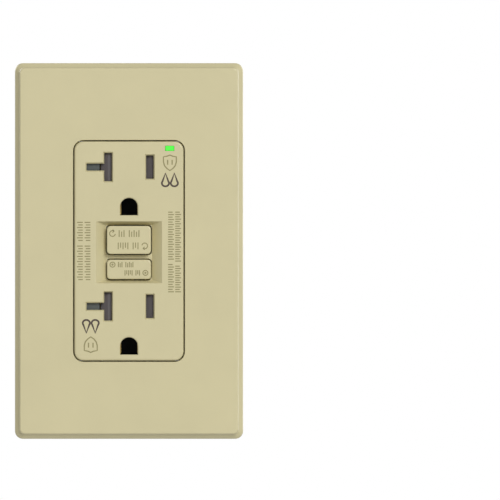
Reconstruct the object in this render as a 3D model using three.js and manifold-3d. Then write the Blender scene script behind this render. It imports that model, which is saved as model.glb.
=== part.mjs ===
// A 20 A ground-fault outlet in a decorator face, with a screwless two-part wall plate.
// Millimetres. X to the right and Z up as seen from the room; the room is towards -Y.
// The origin is the middle of the outlet on the plane of the finished wall (Y = 0).
import * as THREE from 'three';
import { mergeVertices } from 'three/addons/utils/BufferGeometryUtils.js';
import Module from 'manifold-3d';

const wasm = await Module();
wasm.setup();

// ---------------------------------------------------------------- driving dimensions
const PLATE = { halfX: 34.7, halfZ: 57.15, corner: 2.4, front: -5.6, wall: 1.8 };
const FACE = { halfX: 16.6, halfZ: 33.3, corner: 2.7, front: -6.1, wall: 1.8, side: 1.6 };
const FACE_GAP = 0.37; // clearance between the face and the plate's window
const BODY = { halfX: 20.6, halfZ: 33.3, corner: 1.6, part: 2.4, back: 26, wall: 1.6 };
const FLANGE_FRONT = -1.4; // front of the face housing's wide skirt
const BLADE_X = 6.35; // half of the 12.7 mm blade spacing
const OUTLETS = { upper: 25.5, lower: -16.85 }; // heights of the two blade lines
const GROUND_DROP = 12; // from a blade line down to its ground hole
const HOT_SLOT = { halfX: 1.15, halfZ: 3.55 };
const NEUTRAL_SLOT = { halfX: 1.18, halfZ: 4.3 };
const LEG_SLOT = { left: -12.9, halfZ: 1.05 }; // sideways leg of the T for a 20 A blade
const GROUND_HOLE = { halfX: 2.7, low: -2.65, archZ: -0.05 };
const SLOT_CHAMFER = { wide: 0.35, deep: 0.6 };
const BASIN = { halfX: 9.9, low: -9.8, high: 9.0, floor: -3.4, back: -2.5 };
const WELL = { halfX: 7, corner: 1.2 };
const RESET = { halfX: 6.72, low: -0.95, high: 7.65, front: -6.5, flange: -1.05 };
const TEST = { halfX: 6.72, low: -8.6, high: -2.6, front: -5.2, flange: -2.35 };
const BUTTON = { gap: 0.28, corner: 1.1, lip: 0.9, travelRoom: 0.1 };
const RESET_AXIS_Z = (RESET.low + RESET.high) / 2;
const TEST_AXIS_Z = (TEST.low + TEST.high) / 2;
const LENS = { x: 12.4, z: 31.2, halfX: 1.4, halfZ: 0.8 };
const DEVICE_SCREW_Z = 41.65; // half of the 83.3 mm device screw spacing
const PLATE_SCREW_Z = 48.4; // half of the 96.8 mm plate screw spacing
const STRAP = { halfX: 13.4, earX: 16, thick: 1.3, inner: 0.8, shoulder: 33.35, end: 53.2 };
const SUB_PLATE = {
  halfX: 32.6, halfZ: 55, front: -3.3, back: -0.3, skin: 1.6, wall: 1.2, openX: 18.6, openZ: 35.3,
};
const SNAP = { x: 30.9, slotX: 31.4, z: 28, halfZ: 4, thick: 1.2 };
const BED = { front: -2.6, back: 0.5, halfX: 14.75, halfZ: 31.4, slopX: 1.4 };
const SHUTTER = { front: -4.1, back: -2.75 };
const TRAY = { front: 2.7, floor: 9.8, back: 11.2, halfX: 18.4, halfZ: 31.4 };
const BOARD = { front: 20.4, back: 22, halfX: 13.2, halfZ: 31.4 };
const STRIP = { front: 9.0, back: 9.6 }; // flat contact strips on the tray's floor
const LEAF = { half: 0.25, offset: 1.15, front: 3, back: 9.4 }; // contact leaves each side of a blade
const TERMINAL = { y: 14, z: 21, plateIn: 17.3, plateOut: 18.3, plateBack: 19, plateHalfZ: 5, hole: 2.1 };
const ARM = { x: 9.3, front: 12.4, back: 12.9, tipZ: 0.2, eyeZ: 14 };
const PIN = { radius: 1.15, waist: 0.75, front: -2.8, waistFront: 15, waistBack: 16.8, back: 19.4 };
const SOLENOID = { y: 15.9, front: -9, back: -18.8, bore: 1.75, tube: 2.3, coil: 3.8, flange: 4 };
const CORE = { z: 24.3, inner: 3.1, outer: 6.4 };
const GROUND_SCREW = { y: 5, z: -41, tall: 2.6, flange: 4.4 };
const CORNER_SCREW = { x: 16.8, z: 29.4 };

const IVORY = { color: 0xcdc49d, roughness: 0.42, metalness: 0 };
const SHUTTER_GREY = { color: 0x585254, roughness: 0.5, metalness: 0 };
const BODY_GREY = { color: 0x4a4e52, roughness: 0.55, metalness: 0 };
const TRAY_BLACK = { color: 0x26282b, roughness: 0.55, metalness: 0 };
const ZINC = { color: 0xb9bcbb, roughness: 0.35, metalness: 1 };
const BRASS = { color: 0xc9a24e, roughness: 0.3, metalness: 1 };
const GREEN = { color: 0x2f7d46, roughness: 0.35, metalness: 1 };
const COPPER = { color: 0xb3582c, roughness: 0.35, metalness: 1 };
const BOARD_GREEN = { color: 0x1d5a34, roughness: 0.5, metalness: 0 };
const FERRITE = { color: 0x3b3d42, roughness: 0.7, metalness: 0 };
const LENS_GREEN = { color: 0x64ff5f, roughness: 0.2, metalness: 0 };
const NYLON = { color: 0xe6e2d4, roughness: 0.5, metalness: 0 };
const BLUE = { color: 0x2c4f9c, roughness: 0.4, metalness: 0 };

const group = new THREE.Group();

// ---------------------------------------------------------------- solids and booleans
function toSolid(geometry) {
  const bare = geometry.clone();
  bare.deleteAttribute('normal');
  bare.deleteAttribute('uv');
  const merged = mergeVertices(bare, 1e-4);
  return new wasm.Manifold(new wasm.Mesh({
    numProp: 3,
    vertProperties: merged.attributes.position.array,
    triVerts: new Uint32Array(merged.index.array),
  }));
}

function toGeometry(solid) {
  const mesh = solid.getMesh();
  const geometry = new THREE.BufferGeometry();
  geometry.setAttribute('position', new THREE.BufferAttribute(mesh.vertProperties, 3));
  geometry.setIndex(new THREE.BufferAttribute(mesh.triVerts, 1));
  const flat = geometry.toNonIndexed();
  flat.computeVertexNormals();
  return flat;
}

function join(...pieces) {
  return toGeometry(pieces.map(toSolid).reduce((whole, next) => whole.add(next)));
}

function cut(body, ...tools) {
  return toGeometry(tools.map(toSolid).reduce((left, tool) => left.subtract(tool), toSolid(body)));
}

function common(a, b) {
  return toGeometry(toSolid(a).intersect(toSolid(b)));
}

function add(name, geometry, finish) {
  const mesh = new THREE.Mesh(geometry, new THREE.MeshStandardMaterial(finish));
  mesh.name = name;
  group.add(mesh);
}

// ---------------------------------------------------------------- basic shapes
function block(x0, x1, y0, y1, z0, z1) {
  const box = new THREE.BoxGeometry(x1 - x0, y1 - y0, z1 - z0);
  return box.translate((x0 + x1) / 2, (y0 + y1) / 2, (z0 + z1) / 2);
}

// A round bar or cone along Y; the second radius is at the back.
function rodY(x, z, radius, y0, y1, sides = 20, backRadius = radius) {
  return new THREE.CylinderGeometry(backRadius, radius, y1 - y0, sides).translate(x, (y0 + y1) / 2, z);
}

function rodZ(x, y, radius, z0, z1, sides = 16) {
  const rod = new THREE.CylinderGeometry(radius, radius, z1 - z0, sides).rotateX(Math.PI / 2);
  return rod.translate(x, y, (z0 + z1) / 2);
}

function rodX(y, z, radius, x0, x1, sides = 20) {
  const rod = new THREE.CylinderGeometry(radius, radius, x1 - x0, sides).rotateZ(Math.PI / 2);
  return rod.translate((x0 + x1) / 2, y, z);
}

// An outline in X and Z carried along Y, from y0 back to y1.
function prismY(shape, y0, y1, curveSegments = 6) {
  const solid = new THREE.ExtrudeGeometry(shape, { depth: y1 - y0, bevelEnabled: false, curveSegments });
  return solid.rotateX(Math.PI / 2).translate(0, y1, 0);
}

// An outline in Y and Z carried along X.
function prismX(shape, x0, x1, curveSegments = 6) {
  const solid = new THREE.ExtrudeGeometry(shape, { depth: x1 - x0, bevelEnabled: false, curveSegments });
  const turn = new THREE.Matrix4().set(0, 0, 1, 0, 1, 0, 0, 0, 0, 1, 0, 0, 0, 0, 0, 1);
  return solid.applyMatrix4(turn).translate(x0, 0, 0);
}

// An outline in X and Y carried along Z.
function prismZ(shape, z0, z1, curveSegments = 6) {
  const solid = new THREE.ExtrudeGeometry(shape, { depth: z1 - z0, bevelEnabled: false, curveSegments });
  return solid.translate(0, 0, z0);
}

function polygon(...points) {
  return new THREE.Shape(points.map(([x, y]) => new THREE.Vector2(x, y)));
}

// Points round a rectangle with round corners, anticlockwise.
function roundedOutline({ halfX, halfZ, r, x = 0, z = 0 }, steps = 6) {
  const corners = [[1, 1, 0], [-1, 1, 1], [-1, -1, 2], [1, -1, 3]];
  const points = [];
  for (const [sx, sz, quarter] of corners) {
    for (let i = 0; i <= steps; i += 1) {
      const angle = (quarter + i / steps) * Math.PI / 2;
      points.push(new THREE.Vector2(
        x + sx * (halfX - r) + r * Math.cos(angle),
        z + sz * (halfZ - r) + r * Math.sin(angle),
      ));
    }
  }
  return points;
}

// A stack of rounded rectangles, front to back, skinned into one closed solid.
function loftY(sections, steps = 6) {
  const rings = sections.map((section) => roundedOutline(section, steps));
  const count = rings[0].length;
  const positions = [];
  const corner = (ring, i) => [rings[ring][i % count].x, sections[ring].y, rings[ring][i % count].y];
  const triangle = (a, b, c) => positions.push(...a, ...b, ...c);
  for (let ring = 0; ring + 1 < rings.length; ring += 1) {
    for (let i = 0; i < count; i += 1) {
      triangle(corner(ring, i), corner(ring + 1, i), corner(ring + 1, i + 1));
      triangle(corner(ring, i), corner(ring + 1, i + 1), corner(ring, i + 1));
    }
  }
  const last = rings.length - 1;
  for (let i = 1; i + 1 < count; i += 1) {
    triangle(corner(0, 0), corner(0, i), corner(0, i + 1));
    triangle(corner(last, 0), corner(last, i + 1), corner(last, i));
  }
  const geometry = new THREE.BufferGeometry();
  geometry.setAttribute('position', new THREE.Float32BufferAttribute(positions, 3));
  return geometry;
}

// A rectangular cutter that is wider at the front, which chamfers the mouth of a slot.
function flaredSlot(x0, x1, z0, z1, front, back) {
  const { wide, deep } = SLOT_CHAMFER;
  const spread = wide * 1.5;
  const x = (x0 + x1) / 2;
  const z = (z0 + z1) / 2;
  const halfX = (x1 - x0) / 2;
  const halfZ = (z1 - z0) / 2;
  const r = 0.05;
  return loftY([
    { y: front - deep / 2, halfX: halfX + spread, halfZ: halfZ + spread, r, x, z },
    { y: front + deep, halfX, halfZ, r, x, z },
    { y: back, halfX, halfZ, r, x, z },
  ], 1);
}

// The D-shaped outline of a ground hole, grown by a margin all round.
function groundOutline(z, margin) {
  const half = GROUND_HOLE.halfX + margin;
  const low = z + GROUND_HOLE.low - margin;
  const shape = new THREE.Shape();
  shape.moveTo(-half, low);
  shape.lineTo(half, low);
  shape.lineTo(half, z + GROUND_HOLE.archZ);
  shape.absarc(0, z + GROUND_HOLE.archZ, half, 0, Math.PI, false);
  shape.lineTo(-half, low);
  return shape;
}

// A round-wire compression spring along one axis, with a flat first and last turn left off.
function spring(origin, axis, length, radius, wire, turns, stepsPerTurn = 8) {
  const side = new THREE.Vector3(axis.z, axis.x, axis.y);
  const other = new THREE.Vector3().crossVectors(axis, side);
  const points = [];
  for (let i = 0; i <= turns * stepsPerTurn; i += 1) {
    const angle = (i / stepsPerTurn) * Math.PI * 2;
    const along = wire + (length - 2 * wire) * (i / (turns * stepsPerTurn));
    points.push(origin.clone()
      .addScaledVector(axis, along)
      .addScaledVector(side, radius * Math.cos(angle))
      .addScaledVector(other, radius * Math.sin(angle)));
  }
  const path = new THREE.CatmullRomCurve3(points);
  const section = new THREE.Shape().absarc(0, 0, wire, 0, Math.PI * 2, false);
  return new THREE.ExtrudeGeometry(section, {
    extrudePath: path, steps: turns * stepsPerTurn, bevelEnabled: false, curveSegments: 2,
  });
}

// ---------------------------------------------------------------- wall plate
function coverPlate() {
  const { halfX, halfZ, corner, front, wall } = PLATE;
  const shell = loftY([
    { y: front, halfX: halfX - 1.85, halfZ: halfZ - 1.85, r: 1.3 },
    { y: front + 0.1, halfX: halfX - 1.62, halfZ: halfZ - 1.62, r: 1.45 },
    { y: front + 0.35, halfX: halfX - 1.5, halfZ: halfZ - 1.5, r: 1.5 },
    { y: front + 1.3, halfX: halfX - 1.3, halfZ: halfZ - 1.3, r: 1.6 },
    { y: front + 2.0, halfX: halfX - 0.75, halfZ: halfZ - 0.75, r: 1.9 },
    { y: front + 2.6, halfX: halfX - 0.2, halfZ: halfZ - 0.2, r: 2.25 },
    { y: front + 3.1, halfX, halfZ, r: corner },
    { y: 0, halfX, halfZ, r: corner },
  ], 8);
  const inside = loftY([
    { y: front + wall, halfX: halfX - 2.2, halfZ: halfZ - 2.2, r: 1.2 },
    { y: front + wall + 1, halfX: halfX - 1.6, halfZ: halfZ - 1.6, r: 1.4 },
    { y: 1, halfX: halfX - 1.6, halfZ: halfZ - 1.6, r: 1.4 },
  ], 4);
  const window = { halfX: FACE.halfX + FACE_GAP, halfZ: FACE.halfZ + FACE_GAP, r: FACE.corner + FACE_GAP };
  const collar = loftY([
    { y: front + wall - 0.5, halfX: window.halfX + 1, halfZ: window.halfZ + 1, r: window.r + 1 },
    { y: front + wall + 1.2, halfX: window.halfX + 1, halfZ: window.halfZ + 1, r: window.r + 1 },
  ]);
  const opening = loftY([
    { y: front - 1, halfX: window.halfX + 0.85, halfZ: window.halfZ + 0.85, r: window.r + 0.85 },
    { y: front + 0.15, ...window },
    { y: 1, ...window },
  ]);
  const tabs = [];
  for (const side of [-1, 1]) {
    for (const z of [-SNAP.z, SNAP.z]) {
      const x = side * SNAP.x;
      const half = SNAP.thick / 2;
      tabs.push(block(x - half, x + half, front + wall - 0.5, -0.5, z - SNAP.halfZ, z + SNAP.halfZ));
    }
  }
  return cut(join(cut(shell, inside), collar, ...tabs), opening);
}

function subPlate() {
  const { halfX, halfZ, front, back, skin, wall, openX, openZ } = SUB_PLATE;
  const plate = loftY([{ y: front, halfX, halfZ, r: 1.2 }, { y: back, halfX, halfZ, r: 1.2 }], 3);
  const hollow = loftY([
    { y: front + skin, halfX: halfX - wall, halfZ: halfZ - wall, r: 0.8 },
    { y: 1, halfX: halfX - wall, halfZ: halfZ - wall, r: 0.8 },
  ], 3);
  const window = loftY([
    { y: front - 1, halfX: openX, halfZ: openZ, r: 3 },
    { y: 1, halfX: openX, halfZ: openZ, r: 3 },
  ], 4);
  const holes = [];
  for (const end of [-1, 1]) {
    holes.push(rodY(0, end * DEVICE_SCREW_Z, 4.1, -4, 0, 24));
    holes.push(rodY(0, end * PLATE_SCREW_Z, 2.1, -4, 0, 20));
    holes.push(rodY(0, end * PLATE_SCREW_Z, 4.2, -3.9, -1.9, 24, 2.1));
    for (const side of [-1, 1]) {
      const x = side * SNAP.slotX;
      const snapZ = end * SNAP.z;
      const room = SNAP.halfZ + 0.6;
      holes.push(block(x - 1.8, x + 1.8, -4, 1, snapZ - room, snapZ + room));
      holes.push(block(side * 22 - 2, side * 22 + 2, -4, 1, end * 47 - 3, end * 47 + 3));
    }
  }
  return cut(plate, hollow, window, ...holes);
}

// A countersunk screw with a single slot, seen from the room.
function plateScrew(z) {
  const head = rodY(0, z, 3.5, -3.3, -1.9, 24, 1.85);
  const shank = rodY(0, z, 1.62, -2, 9, 16);
  const slot = block(-4, 4, -3.5, -2.6, z - 0.45, z + 0.45);
  return cut(join(head, shank), slot);
}

// ---------------------------------------------------------------- face
function blindSlots(z) {
  const back = FACE.front + FACE.wall + 0.6;
  const hot = flaredSlot(
    BLADE_X - HOT_SLOT.halfX, BLADE_X + HOT_SLOT.halfX, z - HOT_SLOT.halfZ, z + HOT_SLOT.halfZ,
    FACE.front, back,
  );
  const neutral = flaredSlot(
    -BLADE_X - NEUTRAL_SLOT.halfX, -BLADE_X + NEUTRAL_SLOT.halfX,
    z - NEUTRAL_SLOT.halfZ, z + NEUTRAL_SLOT.halfZ, FACE.front, back,
  );
  const leg = flaredSlot(
    LEG_SLOT.left, -BLADE_X, z - LEG_SLOT.halfZ, z + LEG_SLOT.halfZ, FACE.front, back,
  );
  return [hot, neutral, leg];
}

function faceHousing() {
  const { halfX, halfZ, corner, front, wall, side } = FACE;
  const raised = loftY([
    { y: front, halfX: halfX - 0.5, halfZ: halfZ - 0.5, r: corner - 0.5 },
    { y: front + 0.12, halfX: halfX - 0.2, halfZ: halfZ - 0.2, r: corner - 0.2 },
    { y: front + 0.5, halfX, halfZ, r: corner },
    { y: BODY.part - 1, halfX, halfZ, r: corner },
  ]);
  const skirt = loftY([
    { y: FLANGE_FRONT, halfX: BODY.halfX - 0.4, halfZ: BODY.halfZ - 0.4, r: BODY.corner },
    { y: FLANGE_FRONT + 0.4, halfX: BODY.halfX, halfZ: BODY.halfZ, r: BODY.corner },
    { y: BODY.part, halfX: BODY.halfX, halfZ: BODY.halfZ, r: BODY.corner },
  ], 4);
  const basinZ = (BASIN.low + BASIN.high) / 2;
  const basinHalfZ = (BASIN.high - BASIN.low) / 2;
  const pan = loftY([
    { y: BASIN.floor - 0.5, halfX: 9, halfZ: basinHalfZ + 0.6, r: 1, z: basinZ },
    { y: BASIN.back, halfX: 9, halfZ: basinHalfZ + 0.6, r: 1, z: basinZ },
  ], 3);
  const slope = loftY([
    { y: front - 1.1, halfX: BASIN.halfX + 1.4, halfZ: basinHalfZ + 0.43, r: 0.2, z: basinZ + 0.03 },
    {
      y: BASIN.floor, halfX: WELL.halfX,
      halfZ: (RESET.high - TEST.low) / 2 + BUTTON.gap, r: 0.2, z: (RESET.high + TEST.low) / 2,
    },
  ], 2);
  const lining = loftY([
    { y: front + 1, halfX: BASIN.halfX + 1, halfZ: basinHalfZ + 0.8, r: 1, z: basinZ },
    { y: BASIN.back, halfX: 9.3, halfZ: basinHalfZ + 0.4, r: 1, z: basinZ },
  ], 3);
  const inside = loftY([
    { y: front + wall, halfX: halfX - side, halfZ: halfZ - side, r: 0.5 },
    { y: 3, halfX: halfX - side, halfZ: halfZ - side, r: 0.5 },
  ], 2);
  const skirtInside = loftY([
    { y: 0.2, halfX: BODY.halfX - BODY.wall, halfZ: BODY.halfZ - BODY.wall, r: 0.8 },
    { y: 3, halfX: BODY.halfX - BODY.wall, halfZ: BODY.halfZ - BODY.wall, r: 0.8 },
  ], 3);
  const bosses = [];
  const pilots = [];
  for (const sx of [-1, 1]) {
    for (const sz of [-1, 1]) {
      const x = sx * CORNER_SCREW.x;
      const z = sz * CORNER_SCREW.z;
      bosses.push(block(
        Math.min(x - 1.9, sx * 19.2), Math.max(x + 1.9, sx * 19.2), -0.2, BODY.part,
        Math.min(z - 2, sz * 32), Math.max(z + 2, sz * 32),
      ));
      pilots.push(rodY(x, z, 1.35, -1, 3, 16));
    }
  }
  const wells = [RESET, TEST].map(({ low, high }) => {
    const ring = {
      halfX: WELL.halfX, halfZ: (high - low) / 2 + BUTTON.gap, r: WELL.corner, z: (high + low) / 2,
    };
    return loftY([{ y: BASIN.floor - 0.2, ...ring }, { y: 0, ...ring }], 5);
  });
  const cuts = [slope, ...wells, ...pilots];
  for (const z of Object.values(OUTLETS)) {
    cuts.push(...blindSlots(z));
    cuts.push(prismY(groundOutline(z - GROUND_DROP, 0), front - 1, 0));
    cuts.push(prismY(groundOutline(z - GROUND_DROP, 0.2), front - 1, front + 0.2));
  }
  cuts.push(block(
    LENS.x - LENS.halfX, LENS.x + LENS.halfX, front - 1, 0, LENS.z - LENS.halfZ, LENS.z + LENS.halfZ,
  ));
  cuts.push(block(-STRAP.halfX - 0.4, STRAP.halfX + 0.4, 0.5, 3, -40, 40));
  const hollow = cut(join(raised, skirt), inside, skirtInside);
  return cut(join(hollow, pan, lining, ...bosses), ...cuts);
}

// A button cap with softened edges, a wider flange that stops it falling out, and a stem.
function buttonCap({ halfX, low, high, front, flange }) {
  const z = (low + high) / 2;
  const halfZ = (high - low) / 2;
  const { corner, lip, travelRoom } = BUTTON;
  const cap = loftY([
    { y: front, halfX: halfX - 0.42, halfZ: halfZ - 0.42, r: corner - 0.3, z },
    { y: front + 0.14, halfX: halfX - 0.12, halfZ: halfZ - 0.12, r: corner - 0.1, z },
    { y: front + 0.45, halfX, halfZ, r: corner, z },
    { y: flange + 0.3, halfX, halfZ, r: corner, z },
  ], 5);
  const ledge = block(-halfX - lip, halfX + lip, flange, flange + lip, low + travelRoom, high - travelRoom);
  return join(cap, ledge);
}

function resetButton() {
  const socket = rodY(0, RESET_AXIS_Z, PIN.radius + 0.1, PIN.front - 0.2, 3, 16);
  return cut(buttonCap(RESET), socket);
}

function testButton() {
  const stem = block(-2.4, 2.4, TEST.flange + BUTTON.lip / 2, 7.7, TEST_AXIS_Z - 1.4, TEST_AXIS_Z + 1.4);
  return join(buttonCap(TEST), stem);
}

// A steel pin with a waist that the latch plate catches.
function resetPin() {
  const { radius, waist, front, waistFront, waistBack, back } = PIN;
  const shank = rodY(0, RESET_AXIS_Z, radius, front, back - 1, 16);
  const tip = rodY(0, RESET_AXIS_Z, radius, back - 1.1, back, 16, 0.5);
  const groove = cut(
    rodY(0, RESET_AXIS_Z, 2 * radius, waistFront, waistBack, 16),
    rodY(0, RESET_AXIS_Z, waist, waistFront - 1, waistBack + 1, 16),
  );
  return cut(join(shank, tip), groove);
}

function lightPipe() {
  const { x, z } = LENS;
  const head = loftY([
    { y: FACE.front, halfX: LENS.halfX - 0.16, halfZ: LENS.halfZ - 0.16, r: 0.15, x, z },
    { y: FACE.front + 0.14, halfX: LENS.halfX - 0.04, halfZ: LENS.halfZ - 0.04, r: 0.2, x, z },
    { y: FACE.front + 2.2, halfX: LENS.halfX - 0.04, halfZ: LENS.halfZ - 0.04, r: 0.2, x, z },
  ], 3);
  const rod = block(x - 0.85, x + 0.85, FACE.front + 2, 18.8, z - 0.55, z + 0.2);
  return join(head, rod);
}

// ---------------------------------------------------------------- shutters
// The wide shutter covers the hot slot and the upright leg; it slides towards +X to open.
function mainShutter(z) {
  const { front, back } = SHUTTER;
  const profile = polygon(
    [-8.6, front + 0.55], [-6.4, front], [1.2, front], [3.9, front + 0.1], [4.7, front + 0.55],
    [6.9, front], [8.9, front], [8.9, back], [-8.6, back],
  );
  const plate = prismZ(profile, z - 4.7, z + 4.7);
  return cut(plate, block(1.35, 4.35, front - 1, back + 1, z - 3.9, z + 3.9));
}

// The narrow shutter covers the sideways leg; it slides towards -Z to open.
function legShutter(z) {
  const { front, back } = SHUTTER;
  const profile = polygon(
    [front + 0.5, z - 1.6], [back, z - 1.6], [back, z + 1.6], [front + 0.1, z + 1.6], [front + 0.1, z + 0.4],
  );
  return prismX(profile, -14, -8.95);
}

function shutterBed() {
  const { front, back } = BED;
  const cuts = [block(-10.6, 10.6, front - 3, back + 1, -11.3, 10.3)];
  const slab = block(-BED.halfX, BED.halfX, front, back, -BED.halfZ, BED.halfZ);
  const posts = [];
  for (const z of Object.values(OUTLETS)) {
    posts.push(block(BED.halfX - 0.7, BED.halfX, SHUTTER.front, front + 0.5, z - 2, z + 2));
    posts.push(block(-13.6, -9.4, SHUTTER.front, front + 0.5, z - 9.8, z - 9));
    cuts.push(block(BLADE_X - BED.slopX, BLADE_X + BED.slopX, front - 1, back + 1, z - 4, z + 4));
    cuts.push(block(-BLADE_X - BED.slopX, -BLADE_X + BED.slopX, front - 1, back + 1, z - 4.5, z + 4.5));
    cuts.push(block(LEG_SLOT.left - 0.2, -BLADE_X, front - 1, back + 1, z - 1.3, z + 1.3));
    cuts.push(prismY(groundOutline(z - GROUND_DROP, 0.2), front - 3, back + 1));
  }
  cuts.push(block(LENS.x - 1.9, LENS.x + 1.9, front - 1, back + 1, LENS.z - 1.2, LENS.z + 1));
  return cut(join(slab, ...posts), ...cuts);
}

// ---------------------------------------------------------------- metal strap and contacts
function mountingStrap() {
  const { thick, inner, end, halfX, earX } = STRAP;
  const sheet = new THREE.Shape();
  sheet.moveTo(-thick, end);
  sheet.lineTo(0, end);
  sheet.lineTo(0, 36.2);
  sheet.lineTo(inner + thick, 34.1);
  sheet.lineTo(inner + thick, -34.1);
  sheet.lineTo(0, -36.2);
  sheet.lineTo(0, -end);
  sheet.lineTo(-thick, -end);
  sheet.lineTo(-thick, -35.6);
  sheet.lineTo(inner, -33.5);
  sheet.lineTo(inner, 33.5);
  sheet.lineTo(-thick, 35.6);
  const bent = prismX(sheet, -earX, earX);
  const middle = block(-halfX, halfX, -4, 5, -36, 36);
  const ears = [];
  for (const sz of [-1, 1]) {
    const earZ = (35 + end) / 2;
    const halfZ = (end - 35) / 2;
    ears.push(loftY([
      { y: -4, halfX: earX, halfZ, r: 4, z: sz * earZ },
      { y: 5, halfX: earX, halfZ, r: 4, z: sz * earZ },
    ], 5));
  }
  const shoulders = [-1, 1].map((sz) => block(
    -earX, earX, -4, 5, Math.min(sz * STRAP.shoulder, sz * 40), Math.max(sz * STRAP.shoulder, sz * 40),
  ));
  const tab = block(-earX, -earX + thick, -thick, 9.5, -45.5, -36.7);
  const cuts = [block(-9.4, 9.4, -3, 5, -11.2, 10.2)];
  for (const z of Object.values(OUTLETS)) {
    cuts.push(block(BLADE_X - 1.8, BLADE_X + 1.8, -3, 5, z - 4.6, z + 4.6));
    cuts.push(block(-13.1, -BLADE_X + 1.8, -3, 5, z - 4.8, z + 4.8));
    cuts.push(prismY(groundOutline(z - GROUND_DROP, 0.3), -3, 5));
  }
  cuts.push(block(LENS.x - 1.3, LENS.x + 2, -3, 5, LENS.z - 1, LENS.z + 0.7));
  for (const sz of [-1, 1]) {
    cuts.push(loftY([
      { y: -3, halfX: 3.4, halfZ: 2.1, r: 2.05, z: sz * DEVICE_SCREW_Z },
      { y: 3, halfX: 3.4, halfZ: 2.1, r: 2.05, z: sz * DEVICE_SCREW_Z },
    ], 5));
    cuts.push(rodY(0, sz * PLATE_SCREW_Z, 1.78, -3, 3, 20));
    for (const sx of [-1, 1]) {
      cuts.push(rodY(sx * 10.6, sz * 48, 1.6, -3, 3, 16));
      cuts.push(block(sx * 10.6 - 0.4, sx * 10.6 + 0.4, -3, 3, sz * 51.8 - 1.8, sz * 51.8 + 1.8));
    }
  }
  cuts.push(rodX(GROUND_SCREW.y, GROUND_SCREW.z, 2.25, -20, -10, 20));
  const cutOut = common(bent, join(middle, ...shoulders, ...ears));
  return cut(join(cutOut, tab), ...cuts);
}

// A pan-head screw that holds the strap to the wall box, with a cross-shaped recess.
function mountingScrew(z) {
  const head = loftHead(0, z, 3.45, -STRAP.thick, 1.75);
  const shank = rodY(0, z, 1.62, -STRAP.thick - 0.2, 21, 16);
  const point = rodY(0, z, 1.62, 20.9, 22.4, 16, 0.6);
  const front = -STRAP.thick - 2.4;
  return cut(
    join(head, shank, point),
    block(-2.1, 2.1, front, front + 1.4, z - 0.4, z + 0.4),
    block(-0.4, 0.4, front, front + 1.4, z - 2.1, z + 2.1),
  );
}

// A low domed screw head whose flat seat faces +Y.
function loftHead(x, z, radius, seat, height) {
  const profile = [
    new THREE.Vector2(0, -height),
    new THREE.Vector2(radius * 0.55, -height * 0.97),
    new THREE.Vector2(radius * 0.88, -height * 0.7),
    new THREE.Vector2(radius, -height * 0.3),
    new THREE.Vector2(radius, 0),
    new THREE.Vector2(0, 0),
  ];
  return new THREE.LatheGeometry(profile, 24).translate(x, seat, z);
}

function groundScrew() {
  const seat = -STRAP.earX - 0.3;
  const { y, z, tall, flange } = GROUND_SCREW;
  const head = rodX(y, z, flange - 0.2, seat - tall, seat, 6);
  const washer = rodX(y, z, flange, seat - 0.7, seat, 24);
  const shank = rodX(y, z, 2.05, seat - 0.5, -7.5, 16);
  const slot = block(seat - tall - 0.4, seat - tall + 1.1, y - 0.5, y + 0.5, z - 5, z + 5);
  return cut(join(head, washer, shank), slot);
}

// A spring clip on the back of the strap that grips a plug's ground pin.
function groundContact(z) {
  const plate = cut(
    block(-5.2, 5.2, 2.25, 2.75, z - 2.4, z + 5),
    block(-2.45, 2.45, 1, 4, z - 3, z + 3),
  );
  const leaves = [-1, 1].map((side) => block(
    Math.min(side * 2.45, side * 2.95), Math.max(side * 2.45, side * 2.95), 2.3, 9.3, z - 2.2, z + 2.2,
  ));
  const rivets = [-1, 1].map((side) => rodY(side * 4.1, z + 3.9, 0.55, 2.5, 3.3, 10));
  return join(plate, ...leaves, ...rivets);
}

// The strip that feeds both outlets on one side, with a pair of leaves at each blade.
function bus(side) {
  const x = side * BLADE_X;
  const { front, back } = STRIP;
  const parts = [block(x - 1.6, x + 1.6, front, back, OUTLETS.lower - 5, OUTLETS.upper + 4)];
  for (const z of Object.values(OUTLETS)) {
    for (const [offset, outer] of [[-side * LEAF.offset, false], [side * LEAF.offset, true]]) {
      const leafX = x + offset;
      const leaf = block(leafX - LEAF.half, leafX + LEAF.half, LEAF.front, LEAF.back, z - 3.2, z + 3.2);
      const split = block(x + offset - 1, x + offset + 1, 2, 8.4, z - 0.9, z + 0.9);
      parts.push(outer && side < 0 ? cut(leaf, split) : leaf);
    }
    if (side < 0) {
      parts.push(block(-13, x, front, back, z - 1.6, z + 1.6));
      for (const leafZ of [z - LEAF.offset, z + LEAF.offset]) {
        parts.push(block(-13, -8.3, LEAF.front, LEAF.back, leafZ - LEAF.half, leafZ + LEAF.half));
      }
    }
  }
  const inner = Math.min(side * BLADE_X, side * TERMINAL.plateOut);
  const outer = Math.max(side * BLADE_X, side * TERMINAL.plateOut);
  parts.push(block(inner, outer, front, back, -TERMINAL.z - 2, -TERMINAL.z + 2));
  parts.push(terminalPlate(side, -TERMINAL.z));
  const strip = join(...parts);
  return cut(strip, rodX(TERMINAL.y, -TERMINAL.z, TERMINAL.hole, -25, 25, 16));
}

function terminalPlate(side, z) {
  const x0 = Math.min(side * TERMINAL.plateIn, side * TERMINAL.plateOut);
  const { plateIn, plateOut, plateBack, plateHalfZ } = TERMINAL;
  return block(x0, x0 + plateOut - plateIn, STRIP.front, plateBack, z - plateHalfZ, z + plateHalfZ);
}

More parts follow.
